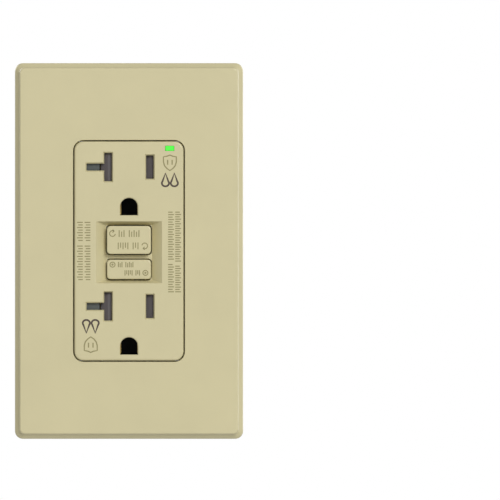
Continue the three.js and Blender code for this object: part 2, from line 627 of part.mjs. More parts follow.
// The incoming terminal: its strip crosses to the sensing cores and a post runs through them.
function lineTerminal(side) {
  const post = rodY(side * 1.1, CORE.z, 0.6, 11.7, 20.3, 10);
  const x0 = Math.min(side * 0.7, side * TERMINAL.plateOut);
  const x1 = Math.max(side * 0.7, side * TERMINAL.plateOut);
  const strip = block(x0, x1, 11.5, 12.1, CORE.z - 1, CORE.z + 1);
  const solid = join(terminalPlate(side, TERMINAL.z), strip, post);
  return cut(solid, rodX(TERMINAL.y, TERMINAL.z, TERMINAL.hole, -25, 25, 16));
}

// A spring arm whose tip meets the strip's fixed contact; the latch block holds it up.
function lineArm(side) {
  const x = side * ARM.x;
  const arm = block(x - 1.1, x + 1.1, ARM.front, ARM.back, -1.2, 15.2);
  const tip = rodY(x, ARM.tipZ, 1.3, ARM.front - 0.7, ARM.front + 0.1, 14);
  const eye = rodY(x, ARM.eyeZ, 1.7, ARM.front, ARM.back, 16);
  return join(arm, tip, eye);
}

function terminalScrew(side, z) {
  const y = TERMINAL.y;
  const seat = side * 19.85;
  const out = side * 22.15;
  const x = (a, b) => [Math.min(a, b), Math.max(a, b)];
  const head = rodX(y, z, 3.9, ...x(seat, out), 28);
  const shank = rodX(y, z, 1.95, ...x(seat + side * 0.5, side * 14), 16);
  const slotLong = block(...x(out - side * 1.1, out + side), y - 0.45, y + 0.45, z - 5, z + 5);
  const slotCross = block(...x(out - side * 1.1, out + side), y - 2.4, y + 2.4, z - 0.45, z + 0.45);
  return cut(join(head, shank), slotLong, slotCross);
}

// The square plate that the screw draws down on a stripped wire.
function terminalClamp(side, z) {
  const [a, b] = [side * 18.65, side * 19.75];
  const plate = block(Math.min(a, b), Math.max(a, b), 9.9, 18.1, z - 4.1, z + 4.1);
  const hole = rodX(TERMINAL.y, z, TERMINAL.hole, -25, 25, 16);
  return cut(plate, hole);
}

// ---------------------------------------------------------------- inner works
function contactTray() {
  const { front, floor, back, halfX, halfZ } = TRAY;
  const outer = loftY([{ y: front, halfX, halfZ, r: 0.6 }, { y: back, halfX, halfZ, r: 0.6 }], 2);
  const hollow = block(-halfX + 1.2, halfX - 1.2, front - 1, floor, -halfZ + 1.2, halfZ - 1.2);
  const bosses = [];
  const cuts = [];
  for (const z of Object.values(OUTLETS)) {
    const ground = z - GROUND_DROP;
    bosses.push(block(-3.6, 3.6, floor, 15.2, Math.max(ground - 3.5, -halfZ), ground + 3.5));
    cuts.push(block(-2.75, 2.75, front - 1, 14.4, ground - 2.7, ground + 2.7));
    cuts.push(block(-5.6, 5.6, front - 1, floor, ground - 2.7, ground + 5.4));
  }
  for (const side of [-1, 1]) {
    bosses.push(rodY(side * ARM.x, ARM.eyeZ, 0.8, back - 0.5, ARM.front - 0.3, 12));
    cuts.push(rodY(side * ARM.x, ARM.tipZ, 1.6, floor - 1, 13, 14));
    for (const end of [-1, 1]) {
      const x0 = Math.min(side * 17, side * 20);
      const low = end * TERMINAL.z - TERMINAL.plateHalfZ - 0.3;
      const high = end * TERMINAL.z + TERMINAL.plateHalfZ + 0.3;
      cuts.push(block(x0, x0 + 3, STRIP.front - 0.3, back + 1, low, high));
      cuts.push(rodY(side * CORNER_SCREW.x, end * CORNER_SCREW.z, 3.4, front - 1, 13, 18));
    }
  }
  cuts.push(rodY(0, RESET_AXIS_Z, 1.5, 0, 13, 16));
  cuts.push(block(LENS.x - 1.3, LENS.x + 1.8, 0, 13, LENS.z - 1, LENS.z + 1));
  return cut(join(cut(outer, hollow), ...bosses), ...cuts);
}

function latchBlock() {
  const z = RESET_AXIS_Z;
  const core = block(-5.4, 5.4, 11.7, 18, z - 4.6, z + 5.2);
  const wings = block(-11, 11, 13.2, 14.3, -1.2, 1.8);
  const bore = rodY(0, z, 1.5, 10, 20, 16);
  const slot = block(-3.3, 3.3, 15.1, 16.7, z - 8, z + 8);
  return cut(join(core, wings), bore, slot);
}

function latchPlate() {
  const plate = block(-2.9, 2.9, 15.4, 16.4, -3.2, 8.4);
  const keyhole = loftY([
    { y: 14, halfX: 1.35, halfZ: 2.5, r: 1.3, z: 2.45 },
    { y: 18, halfX: 1.35, halfZ: 2.5, r: 1.3, z: 2.45 },
  ], 4);
  return cut(plate, keyhole);
}

function solenoidBobbin() {
  const { y, front, back, bore, flange } = SOLENOID;
  const tube = rodZ(0, y, SOLENOID.tube, back, front, 20);
  const flanges = [[front - 0.8, front], [back, back + 0.8]].map(([z0, z1]) => (
    block(-flange, flange, y - flange, y + flange, z0, z1)
  ));
  return cut(join(tube, ...flanges), rodZ(0, y, bore, back - 1, front + 1, 16));
}

function solenoidCoil() {
  const { y, front, back, coil, tube } = SOLENOID;
  const z0 = back + 0.9;
  const z1 = front - 0.9;
  return cut(rodZ(0, y, coil, z0, z1, 28), rodZ(0, y, tube + 0.1, z0 - 1, z1 + 1, 20));
}

function plunger() {
  const { y } = SOLENOID;
  const rod = rodZ(0, y, SOLENOID.bore - 0.3, -24.4, -5.2, 16);
  const nose = rodZ(0, y, 0.9, -5.3, -3.6, 12);
  const tail = rodZ(0, y, 2.3, -25.2, -24.3, 16);
  return join(rod, nose, tail);
}

function circuitBoard() {
  const { front, back, halfX, halfZ } = BOARD;
  const board = block(-halfX, halfX, front, back, -halfZ, halfZ);
  const holes = [rodY(0, RESET_AXIS_Z, 1.9, front - 1, back + 1, 16)];
  for (const side of [-1, 1]) {
    holes.push(rodY(side * 11.4, -29.6, 0.9, front - 1, back + 1, 12));
    holes.push(rodY(side * 11.4, 26, 0.9, front - 1, back + 1, 12));
  }
  return cut(board, ...holes);
}

function ring(z, inner, outer, y0, y1) {
  return cut(rodY(0, z, outer, y0, y1, 28), rodY(0, z, inner, y0 - 1, y1 + 1, 20));
}

function coreHolder() {
  const base = rodY(0, CORE.z, 6.9, 19.3, 20.2, 28);
  const tube = rodY(0, CORE.z, 2.9, 12.7, 19.4, 20);
  return cut(join(base, tube), rodY(0, CORE.z, 2.2, 12, 21, 16));
}

function varistor() {
  const disc = rodZ(9.2, 16.2, 3.8, -11.4, -8.6, 24);
  const legs = [-1, 1].map((side) => rodY(9.2 + side * 1.8, -10, 0.3, 18, 20.35, 8));
  return join(disc, ...legs);
}

function thyristor() {
  const outline = new THREE.Shape();
  outline.moveTo(7, -19);
  outline.absarc(9.2, -19, 2.2, Math.PI, 0, false);
  outline.lineTo(11.4, -17.6);
  outline.lineTo(7, -17.6);
  const body = prismY(outline, 14, 18.6, 5);
  const legs = [-1.2, 0, 1.2].map((dx) => rodY(9.2 + dx, -18.4, 0.25, 18.4, 20.35, 8));
  return join(body, ...legs);
}

function controlChip() {
  const body = block(-11.6, -7.6, 18.5, 20, -5.6, -0.4);
  const legs = [];
  for (let i = 0; i < 4; i += 1) {
    const z = -4.9 + i * 1.27;
    legs.push(block(-12.4, -6.8, 19.6, 20.35, z - 0.2, z + 0.2));
  }
  return join(body, ...legs);
}

function testContact() {
  const z = TEST_AXIS_Z;
  const leaf = block(-1.4, 1.4, 8, 8.4, z - 6, z + 2);
  const foot = block(-1.4, 1.4, 8, 9.7, z - 6.6, z - 6);
  return join(leaf, foot);
}

function rearHousing() {
  const { halfX, halfZ, corner, part, back, wall } = BODY;
  const front = part + 0.2;
  const outer = loftY([
    { y: front, halfX, halfZ, r: corner },
    { y: back - 1.2, halfX, halfZ, r: corner },
    { y: back, halfX: halfX - 1.2, halfZ: halfZ - 1.2, r: corner },
  ], 4);
  const inside = loftY([
    { y: front - 1, halfX: halfX - wall - 0.3, halfZ: halfZ - wall, r: 0.8 },
    { y: back - 2, halfX: halfX - wall - 0.3, halfZ: halfZ - wall, r: 0.8 },
  ], 3);
  const columns = [];
  const cuts = [];
  for (const sx of [-1, 1]) {
    for (const sz of [-1, 1]) {
      const x = sx * CORNER_SCREW.x;
      const z = sz * CORNER_SCREW.z;
      columns.push(rodY(x, z, 3, 3, back - 1, 20));
      cuts.push(rodY(x, z, 1.6, 1, back + 1, 16));
      cuts.push(rodY(x, z, 2.7, back - 2, back + 1, 20));
      const terminalZ = sz * TERMINAL.z;
      const x0 = Math.min(sx * 18, sx * 22);
      cuts.push(block(x0, x0 + 4, 9.2, 18.8, terminalZ - 4.8, terminalZ + 4.8));
      for (const dz of [-2.6, 2.6]) {
        cuts.push(rodY(sx * 15.6, terminalZ + dz, 1.7, back - 3, back + 1, 16));
      }
    }
  }
  const rim = loftY([
    { y: back - 0.6, halfX: 11.5, halfZ: 24, r: 1.5 },
    { y: back + 1, halfX: 11.8, halfZ: 24.3, r: 1.5 },
  ], 3);
  return cut(join(cut(outer, inside), ...columns), rim, ...cuts);
}

function housingScrew(x, z) {
  const head = rodY(x, z, 2.5, 24.1, 25.6, 20);
  const shank = rodY(x, z, 1.25, -0.6, 24.2, 12);
  return cut(
    join(head, shank),
    block(x - 1.6, x + 1.6, 24.8, 26, z - 0.3, z + 0.3),
    block(x - 0.3, x + 0.3, 24.8, 26, z - 1.6, z + 1.6),
  );
}

// ---------------------------------------------------------------- assembly
add('cover_plate', coverPlate(), IVORY);
add('sub_plate', subPlate(), IVORY);
add('face_housing', faceHousing(), IVORY);
add('reset_button', resetButton(), IVORY);
add('test_button', testButton(), IVORY);
add('reset_pin', resetPin(), ZINC);
add('light_pipe', lightPipe(), LENS_GREEN);
add('indicator_led', block(11.4, 13.4, 19.1, 20.3, 29.7, 31.3), NYLON);
add('shutter_bed', shutterBed(), NYLON);
add('mounting_strap', mountingStrap(), ZINC);
add('contact_tray', contactTray(), TRAY_BLACK);
add('hot_bus', bus(1), BRASS);
add('neutral_bus', bus(-1), BRASS);
add('line_hot_terminal', lineTerminal(1), BRASS);
add('line_neutral_terminal', lineTerminal(-1), BRASS);
add('line_hot_arm', lineArm(1), COPPER);
add('line_neutral_arm', lineArm(-1), COPPER);
add('latch_block', latchBlock(), NYLON);
add('latch_plate', latchPlate(), ZINC);
add('test_contact', testContact(), BRASS);
add('solenoid_bobbin', solenoidBobbin(), NYLON);
add('solenoid_coil', solenoidCoil(), COPPER);
add('plunger', plunger(), ZINC);
add('circuit_board', circuitBoard(), BOARD_GREEN);
add('differential_core', ring(CORE.z, CORE.inner, CORE.outer, 12.9, 15.8), FERRITE);
add('neutral_core', ring(CORE.z, CORE.inner, CORE.outer, 16.1, 19.1), FERRITE);
add('core_holder', coreHolder(), NYLON);
add('varistor', varistor(), BLUE);
add('thyristor', thyristor(), TRAY_BLACK);
add('control_chip', controlChip(), TRAY_BLACK);
add('rear_housing', rearHousing(), BODY_GREY);
add('ground_screw', groundScrew(), GREEN);

const AXIS_X = new THREE.Vector3(1, 0, 0);
const AXIS_Y = new THREE.Vector3(0, 1, 0);
const AXIS_Z = new THREE.Vector3(0, 0, 1);
const springY = (SHUTTER.front + BED.front) / 2;

for (const [end, z] of Object.entries(OUTLETS)) {
  add(`main_shutter_${end}`, mainShutter(z), SHUTTER_GREY);
  add(`leg_shutter_${end}`, legShutter(z), SHUTTER_GREY);
  const mainSeat = new THREE.Vector3(8.95, springY, z);
  add(`main_shutter_spring_${end}`, spring(mainSeat, AXIS_X, 5.05, 0.5, 0.13, 5), ZINC);
  const legSeat = new THREE.Vector3(-11.5, springY, z - 8.95);
  add(`leg_shutter_spring_${end}`, spring(legSeat, AXIS_Z, 7.3, 0.5, 0.13, 6), ZINC);
  add(`ground_contact_${end}`, groundContact(z - GROUND_DROP), BRASS);
}
const resetSeat = new THREE.Vector3(0, -0.1, RESET_AXIS_Z);
add('reset_spring', spring(resetSeat, AXIS_Y, 9.85, 2, 0.22, 6, 10), ZINC);
const plungerSeat = new THREE.Vector3(0, SOLENOID.y, -24.25);
add('plunger_spring', spring(plungerSeat, AXIS_Z, 5.4, 2, 0.2, 4, 10), ZINC);

for (const [end, sign] of [['upper', 1], ['lower', -1]]) {
  add(`plate_screw_${end}`, plateScrew(sign * PLATE_SCREW_Z), ZINC);
  add(`mounting_screw_${end}`, mountingScrew(sign * DEVICE_SCREW_Z), ZINC);
  for (const [side, sx] of [['left', -1], ['right', 1]]) {
    const name = `housing_screw_${end}_${side}`;
    add(name, housingScrew(sx * CORNER_SCREW.x, sign * CORNER_SCREW.z), ZINC);
  }
}
for (const [feed, sign] of [['line', 1], ['load', -1]]) {
  for (const [pole, side, finish] of [['hot', 1, BRASS], ['neutral', -1, ZINC]]) {
    add(`${feed}_${pole}_screw`, terminalScrew(side, sign * TERMINAL.z), finish);
    add(`${feed}_${pole}_clamp`, terminalClamp(side, sign * TERMINAL.z), finish);
  }
}

export default group;
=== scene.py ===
"""Looks of a 20 A ground-fault outlet with a decorator face and a screwless wall plate.

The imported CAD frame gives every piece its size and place. This script dresses it: it softens the
moulded edges, winds the springs and threads, marks the face and gives each piece its finish.
"""
import logging
import math
from dataclasses import dataclass, field
from enum import Enum
from typing import Iterable, Sequence

import bmesh
import bpy
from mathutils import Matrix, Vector


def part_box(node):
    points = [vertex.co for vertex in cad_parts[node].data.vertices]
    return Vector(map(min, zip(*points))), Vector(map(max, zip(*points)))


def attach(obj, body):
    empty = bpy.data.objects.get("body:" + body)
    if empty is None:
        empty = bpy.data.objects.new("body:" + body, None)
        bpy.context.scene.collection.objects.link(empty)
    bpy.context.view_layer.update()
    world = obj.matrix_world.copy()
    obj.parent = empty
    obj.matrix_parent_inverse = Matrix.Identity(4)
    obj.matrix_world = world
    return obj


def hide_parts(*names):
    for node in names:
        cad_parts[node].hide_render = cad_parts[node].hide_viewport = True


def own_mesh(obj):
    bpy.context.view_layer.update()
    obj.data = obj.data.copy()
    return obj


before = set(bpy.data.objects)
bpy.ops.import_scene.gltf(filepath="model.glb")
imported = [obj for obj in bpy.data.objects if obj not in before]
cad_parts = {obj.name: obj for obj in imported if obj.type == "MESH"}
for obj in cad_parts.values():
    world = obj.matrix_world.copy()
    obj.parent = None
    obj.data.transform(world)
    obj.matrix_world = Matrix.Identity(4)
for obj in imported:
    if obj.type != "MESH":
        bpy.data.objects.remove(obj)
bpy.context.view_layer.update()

LOG = logging.getLogger("outlet")
MM = 0.001
ACROSS, BACK, UP = Vector((1, 0, 0)), Vector((0, 1, 0)), Vector((0, 0, 1))
ENDS = ("upper", "lower")
Colour = tuple[float, float, float, float]
Point = tuple[float, float]
Outline = list[Point]
Stroke = tuple[Outline, bool]  # a line, and whether it closes on itself


# ------------------------------------------------------------------ colours and node trees
def linear(code: str) -> Colour:
    """Turns an sRGB hex colour into linear light.

    Args:
        code: The colour, such as "#CDC49D".

    Returns:
        Red, green, blue and an alpha of 1.
    """
    parts = [int(code[i:i + 2], 16) / 255 for i in (1, 3, 5)]
    red, green, blue = (c / 12.92 if c <= 0.04045 else ((c + 0.055) / 1.055) ** 2.4 for c in parts)
    return (red, green, blue, 1.0)


def shade(code: str, factor: float) -> Colour:
    """Scales the light of a hex colour, keeping its hue."""
    red, green, blue, _ = linear(code)
    return (min(red * factor, 1), min(green * factor, 1), min(blue * factor, 1), 1.0)


def mixed(first: str, second: str, share: float) -> Colour:
    """Mixes two hex colours in linear light, with that share of the second."""
    a, b = linear(first), linear(second)
    return tuple(x * (1 - share) + y * share for x, y in zip(a, b))


def add_node(tree: bpy.types.NodeTree, kind: str, settings: dict | None = None,
             links: dict | None = None) -> bpy.types.Node:
    """Adds a shader node with its settings and incoming links.

    Args:
        tree: The node tree to add to.
        kind: Blender's name for the node type.
        settings: Attribute or input values by name; an integer key is an input's position, and
            "stops" holds a ramp's positions and colours.
        links: Output sockets to plug in, by input name or position.

    Returns:
        The new node.
    """
    node = tree.nodes.new(kind)
    for key, value in (settings or {}).items():
        if key == "stops":
            elements = node.color_ramp.elements
            while len(elements) < len(value):
                elements.new(0.5)
            for element, (position, colour) in zip(elements, value):
                element.position, element.color = position, colour
        elif isinstance(key, int) or key in node.inputs:
            node.inputs[key].default_value = value
        else:
            setattr(node, key, value)
    for key, socket in (links or {}).items():
        tree.links.new(socket, node.inputs[key])
    return node


@dataclass(frozen=True)
class Bench:
    """A material laid open for work: its node tree, surface shader and object coordinates."""

    tree: bpy.types.NodeTree
    shader: bpy.types.Node
    place: bpy.types.NodeSocket

    def join(self, sockets: dict[str, bpy.types.NodeSocket]) -> None:
        """Plugs sockets into the shader, by input name."""
        for name, socket in sockets.items():
            self.tree.links.new(socket, self.shader.inputs[name])

    def fix(self, values: dict[str, float | Colour]) -> None:
        """Sets even values straight on the shader, by input name."""
        for name, value in values.items():
            self.shader.inputs[name].default_value = value

    def relief(self, height: bpy.types.NodeSocket, depth_mm: float, edge_mm: float) -> None:
        """Joins a surface relief to the shader, over edges that look slightly rounded.

        Args:
            height: The relief's height, from 0 to 1.
            depth_mm: The relief's depth.
            edge_mm: How far the rounding reaches from an edge.
        """
        edge = add_node(self.tree, "ShaderNodeBevel", {"samples": 6, "Radius": edge_mm * MM})
        bump = add_node(self.tree, "ShaderNodeBump", {"Strength": 1.0, "Distance": depth_mm * MM},
                        {"Height": height, "Normal": edge.outputs["Normal"]})
        self.join({"Normal": bump.outputs["Normal"]})


@dataclass(frozen=True)
class Finish:
    """What every finish holds: the name of its material and its base colour."""

    name: str
    colour: str
    edge_mm: float = field(default=0.16, kw_only=True)  # reach of the softened edges

    def material(self) -> bpy.types.Material:
        """Finds the finish's material, and makes it the first time.

        Returns:
            The material.
        """
        found = bpy.data.materials.get(self.name)
        if found:
            return found
        made = bpy.data.materials.new(self.name)
        made.use_nodes = True
        made.diffuse_color = linear(self.colour)
        tree = made.node_tree
        place = add_node(tree, "ShaderNodeTexCoord").outputs["Object"]
        self.dress(Bench(tree, tree.nodes["Principled BSDF"], place))
        return made

    def dress(self, bench: Bench) -> None:
        """Fills in the shader; each finish does its own."""
        raise NotImplementedError


@dataclass(frozen=True)
class MouldedPlastic(Finish):
    """Polycarbonate or nylon from a steel mould with a spark-eroded cavity.

    The eye gets an even colour with faint clouds where the melt flowed, a fine pebble that breaks
    up the sheen, and a soft highlight along the edges.
    """

    roughness: float = 0.42
    grain_mm: float = 0.35  # coarser than real texture, so that it still shows
    grain_depth_mm: float = 0.004
    cloud: float = 0.018  # how much lighter and darker the clouds are
    cloud_mm: float = 14
    cloud_band: Point = (0.3, 0.7)  # where in the noise the colour changes
    stray: Point = (0.04, 0.05)
    ior: float = 1.585

    def dress(self, bench: Bench) -> None:
        """Adds colour clouds, a pebbled bump and an uneven gloss.

        Args:
            bench: The open material.
        """
        start, end = self.cloud_band
        clouds = add_node(bench.tree, "ShaderNodeTexNoise",
                          {"Scale": 1 / (self.cloud_mm * MM), "Detail": 3.0},
                          {"Vector": bench.place})
        colour = add_node(bench.tree, "ShaderNodeValToRGB",
                          {"stops": [(start, shade(self.colour, 1 - self.cloud)),
                                     (end, shade(self.colour, 1 + self.cloud))]},
                          {"Fac": clouds.outputs["Fac"]})
        grain = add_node(bench.tree, "ShaderNodeTexNoise",
                         {"Scale": 1 / (self.grain_mm * MM), "Detail": 2.0, "Roughness": 0.6},
                         {"Vector": bench.place}).outputs["Fac"]
        gloss = add_node(bench.tree, "ShaderNodeMapRange",
                         {"To Min": self.roughness - self.stray[0],
                          "To Max": self.roughness + self.stray[1]}, {"Value": grain})
        bench.fix({"IOR": self.ior})
        bench.join({"Base Color": colour.outputs["Color"], "Roughness": gloss.outputs["Result"]})
        bench.relief(grain, self.grain_depth_mm, self.edge_mm)


@dataclass(frozen=True)
class RolledMetal(Finish):
    """Brass, steel or copper strip straight from the rolling mill, then blanked.

    The eye gets long fine lines along the rolling direction and a slightly streaked gloss.
    """

    roughness: float = 0.32
    line_mm: float = 0.12
    along: int = 2  # axis of the rolling lines: 0, 1 or 2
    stain: str = "#6E5A2C"
    staining: float = 0.12
    line_depth_mm: float = 0.004
    drawn_out: float = 0.02  # a line's width over its length
    stain_mm: float = 5
    stain_band: Point = (0.45, 0.8)
    stray: Point = (0.1, 0.12)

    def dress(self, bench: Bench) -> None:
        """Adds rolling lines to the bump and gloss, and a little tarnish.

        Args:
            bench: The open material.
        """
        stretch = [1.0, 1.0, 1.0]
        stretch[self.along] = self.drawn_out
        lined = add_node(bench.tree, "ShaderNodeMapping", {"Scale": tuple(stretch)},
                         {"Vector": bench.place})
        lines = add_node(bench.tree, "ShaderNodeTexNoise",
                         {"Scale": 1 / (self.line_mm * MM), "Detail": 3.0},
                         {"Vector": lined.outputs["Vector"]}).outputs["Fac"]
        clean, stained = self.stain_band
        stains = add_node(bench.tree, "ShaderNodeTexNoise",
                          {"Scale": 1 / (self.stain_mm * MM), "Detail": 4.0},
                          {"Vector": bench.place})
        colour = add_node(bench.tree, "ShaderNodeValToRGB",
                          {"stops": [(clean, linear(self.colour)),
                                     (stained, mixed(self.colour, self.stain, self.staining))]},
                          {"Fac": stains.outputs["Fac"]})
        gloss = add_node(bench.tree, "ShaderNodeMapRange",
                         {"To Min": self.roughness - self.stray[0],
                          "To Max": self.roughness + self.stray[1]}, {"Value": lines})
        bench.fix({"Metallic": 1.0})
        bench.join({"Base Color": colour.outputs["Color"], "Roughness": gloss.outputs["Result"]})
        bench.relief(lines, self.line_depth_mm, self.edge_mm)


@dataclass(frozen=True)
class PlatedSteel(Finish):
    """Zinc-plated steel with a clear or dyed passivation.

    The eye gets a cool grey with faint blue and straw patches and a grainy, half-bright gloss.
    """

    roughness: float = 0.36
    warm: str = "#C2BBA2"
    cool: str = "#A9B3BE"
    tinting: float = 0.5
    patch_mm: float = 6
    patch_stops: tuple[float, float, float] = (0.3, 0.5, 0.72)  # cool, plain and warm
    crystal_mm: float = 0.25
    crystal_depth_mm: float = 0.005
    stray: Point = (0.08, 0.1)

    def dress(self, bench: Bench) -> None:
        """Adds passivation tints, a fine crystalline bump and a patchy gloss.

        Args:
            bench: The open material.
        """
        tints = (mixed(self.colour, self.cool, self.tinting), linear(self.colour),
                 mixed(self.colour, self.warm, self.tinting))
        patches = add_node(bench.tree, "ShaderNodeTexNoise",
                           {"Scale": 1 / (self.patch_mm * MM), "Detail": 3.0, "Distortion": 0.6},
                           {"Vector": bench.place})
        colour = add_node(bench.tree, "ShaderNodeValToRGB",
                          {"stops": list(zip(self.patch_stops, tints))},
                          {"Fac": patches.outputs["Fac"]})
        crystals = add_node(bench.tree, "ShaderNodeTexNoise",
                            {"Scale": 1 / (self.crystal_mm * MM), "Detail": 4.0},
                            {"Vector": bench.place}).outputs["Fac"]
        gloss = add_node(bench.tree, "ShaderNodeMapRange",
                         {"To Min": self.roughness - self.stray[0],
                          "To Max": self.roughness + self.stray[1]}, {"Value": crystals})
        bench.fix({"Metallic": 1.0})
        bench.join({"Base Color": colour.outputs["Color"], "Roughness": gloss.outputs["Result"]})
        bench.relief(crystals, self.crystal_depth_mm, self.edge_mm)


@dataclass(frozen=True)
class LitLens(Finish):
    """Moulded green acrylic over a lit diode.

    The eye gets a glossy lens whose head glows, brightest in its middle.
    """

    glow: str = "#5CFF4E"
    strength: float = 0.62
    rim: float = 0.4  # how much of the glow is left at the rim
    middle_mm: Point = (12.4, 31.2)
    half_mm: Point = (1.4, 0.8)
    fade_band: Point = (0.6, 0.95)  # where the glow falls off, from the middle (0) to the rim (1)
    head_mm: float = -4.4  # the glow stops this far along Y
    ripple_mm: float = 0.7
    ripple: float = 0.85  # light of the darker ripples
    roughness: float = 0.12
    ior: float = 1.49

    def dress(self, bench: Bench) -> None:
        """Adds a glossy coloured body that lights itself.

        Args:
            bench: The open material.
        """
        ripples = add_node(bench.tree, "ShaderNodeTexNoise",
                           {"Scale": 1 / (self.ripple_mm * MM), "Detail": 1.0},
                           {"Vector": bench.place})
        colour = add_node(bench.tree, "ShaderNodeValToRGB",
                          {"stops": [(0.3, shade(self.colour, self.ripple)),
                                     (0.7, linear(self.colour))]},
                          {"Fac": ripples.outputs["Fac"]})
        bench.fix({"Roughness": self.roughness, "IOR": self.ior,
                   "Emission Color": linear(self.glow)})
        axes = add_node(bench.tree, "ShaderNodeSeparateXYZ", links={"Vector": bench.place}).outputs
        head = add_node(bench.tree, "ShaderNodeMath",
                        {"operation": "LESS_THAN", 1: self.head_mm * MM}, {0: axes["Y"]})
        offsets = []
        for axis, middle, half in zip("XZ", self.middle_mm, self.half_mm):
            off = add_node(bench.tree, "ShaderNodeMath",
                           {"operation": "SUBTRACT", 1: middle * MM}, {0: axes[axis]})
            size = add_node(bench.tree, "ShaderNodeMath", {"operation": "ABSOLUTE"},
                            {0: off.outputs["Value"]})
            offsets.append(add_node(bench.tree, "ShaderNodeMath",
                                    {"operation": "DIVIDE", 1: half * MM},
                                    {0: size.outputs["Value"]}).outputs["Value"])
        outward = add_node(bench.tree, "ShaderNodeMath", {"operation": "MAXIMUM"},
                           dict(enumerate(offsets)))
        bright, dim = self.fade_band
        glow = add_node(bench.tree, "ShaderNodeMapRange",
                        {"From Min": bright, "From Max": dim, "To Min": self.strength,
                         "To Max": self.strength * self.rim},
                        {"Value": outward.outputs["Value"]})
        lit = add_node(bench.tree, "ShaderNodeMath", {"operation": "MULTIPLY"},
                       {0: glow.outputs["Result"], 1: head.outputs["Value"]})
        bench.join({"Base Color": colour.outputs["Color"],
                    "Emission Strength": lit.outputs["Value"]})


@dataclass(frozen=True)
class InkAndPaintedShade(Finish):
    """Flat strokes of one colour each: pad-printed ink on the printed marks, and a darker ivory on the
    engraved marks that is painted shade.

    The darker ivory stands in for the shadow inside a shallow moulded engraving; the strokes themselves
    lie slightly proud of the face. The eye gets a flat, dull stroke that is a little uneven.
    """

    roughness: float = 0.55
    speckle_mm: float = 0.5
    speckle: float = 0.08

    def dress(self, bench: Bench) -> None:
        """Adds a slightly uneven colour.

        Args:
            bench: The open material.
        """
        speckles = add_node(bench.tree, "ShaderNodeTexNoise",
                            {"Scale": 1 / (self.speckle_mm * MM), "Detail": 2.0},
                            {"Vector": bench.place})
        colour = add_node(bench.tree, "ShaderNodeValToRGB",
                          {"stops": [(0.25, shade(self.colour, 1 - self.speckle)),
                                     (0.75, shade(self.colour, 1 + self.speckle))]},
                          {"Fac": speckles.outputs["Fac"]})
        bench.fix({"Roughness": self.roughness})
        bench.join({"Base Color": colour.outputs["Color"]})


@dataclass(frozen=True)
class Laminate(Finish):
    """Pressed glass-epoxy board under green solder resist.

    The eye gets a faint weave under a glossy coat.
    """

    weave_mm: float = 0.5
    bands: float = 0.31  # Blender's wave scale for one thread per unit
    weave_depth_mm: float = 0.006
    valley: float = 0.85
    crown: float = 1.25
    roughness: float = 0.25
    ior: float = 1.52

    def dress(self, bench: Bench) -> None:
        """Adds crossed threads to the colour and bump.

        Args:
            bench: The open material.
        """
        scale = self.bands / (self.weave_mm * MM)
        threads = [add_node(bench.tree, "ShaderNodeTexWave",
                            {"bands_direction": direction, "Scale": scale, "Detail": 0.0},
                            {"Vector": bench.place}).outputs["Fac"] for direction in "XZ"]
        weave = add_node(bench.tree, "ShaderNodeMath", {"operation": "MULTIPLY"},
                         dict(enumerate(threads))).outputs["Value"]
        colour = add_node(bench.tree, "ShaderNodeValToRGB",
                          {"stops": [(0.0, shade(self.colour, self.valley)),
                                     (1.0, shade(self.colour, self.crown))]}, {"Fac": weave})
        bench.fix({"Roughness": self.roughness, "IOR": self.ior})
        bench.join({"Base Color": colour.outputs["Color"]})
        bench.relief(weave, self.weave_depth_mm, self.edge_mm)


class Stock(Enum):
    """Every finish on the outlet, by what it is made of and how."""

    IVORY = MouldedPlastic("ivory_polycarbonate_moulded", "#CDC49A", 0.4, edge_mm=0.07)
    IVORY_BUTTON = MouldedPlastic("ivory_polycarbonate_button", "#CDC49A", 0.36)
    SHUTTER = MouldedPlastic("grey_nylon_moulded", "#544E50", 0.5)
    LEG_SHUTTER = MouldedPlastic("slate_nylon_moulded", "#565C5C", 0.5)
    BLACK_NYLON = MouldedPlastic("black_nylon_moulded", "#1D1E20", 0.5)
    NATURAL_NYLON = MouldedPlastic("natural_nylon_moulded", "#E3DDCB", 0.45)
    BODY = MouldedPlastic("charcoal_polycarbonate_textured", "#3C4044", 0.5, 0.5, 0.012)
    EPOXY = MouldedPlastic("black_epoxy_moulded", "#17181A", 0.45)
    BLUE_EPOXY = MouldedPlastic("blue_epoxy_dipped", "#274A9A", 0.25, 1.2, 0.01)
    FERRITE = MouldedPlastic("ferrite_epoxy_coated", "#34363B", 0.6, 0.25, 0.01)
    STRAP = RolledMetal("zinc_plated_strip_rolled", "#C3C5C3", 0.34, 0.12, 2, "#8D8F90", 0.35)
    BRASS = RolledMetal("brass_strip_rolled", "#DDBD72", 0.28)
    SILVER_BRASS = RolledMetal("nickel_plated_brass", "#C9C6BB", 0.28, 0.12, 1, "#8F8B7E", 0.3)
    COPPER = RolledMetal("copper_alloy_strip", "#C26A3A", 0.3, 0.12, 2, "#6B3520", 0.2)
    WIRE = RolledMetal("enamelled_copper_wire", "#A24A1E", 0.25, 0.3, 0, "#5C2A12", 0.3)
    SPRING = RolledMetal("spring_wire_drawn", "#A9ABAA", 0.25, 0.2, 0, "#77797A", 0.3)
    SCREW = PlatedSteel("zinc_plated_screw", "#BFC1BF")
    BRASS_SCREW = PlatedSteel("brass_plated_screw", "#D9BC6E", 0.32, "#CDA552", "#E0CB93")
    GREEN_SCREW = PlatedSteel("green_passivated_screw", "#2C7A45", 0.34, "#4A8A3C", "#1F6A55")
    LENS = LitLens("green_acrylic_lens", "#46D43E")
    # painted shade: a darker ivory standing in for the shadow inside moulded engravings
    PAINTED_SHADE_STROKE = InkAndPaintedShade("ivory_painted_engraving_shade", "#8F875C")
    PRINT = InkAndPaintedShade("brown_pad_print", "#4A3D35")
    BOARD = Laminate("green_resist_board", "#1D5A34")

    def on(self, thing: bpy.types.Object) -> None:
        """Gives a piece this finish in place of any other."""
        thing.data.materials.clear()
        thing.data.materials.append(self.value.material())


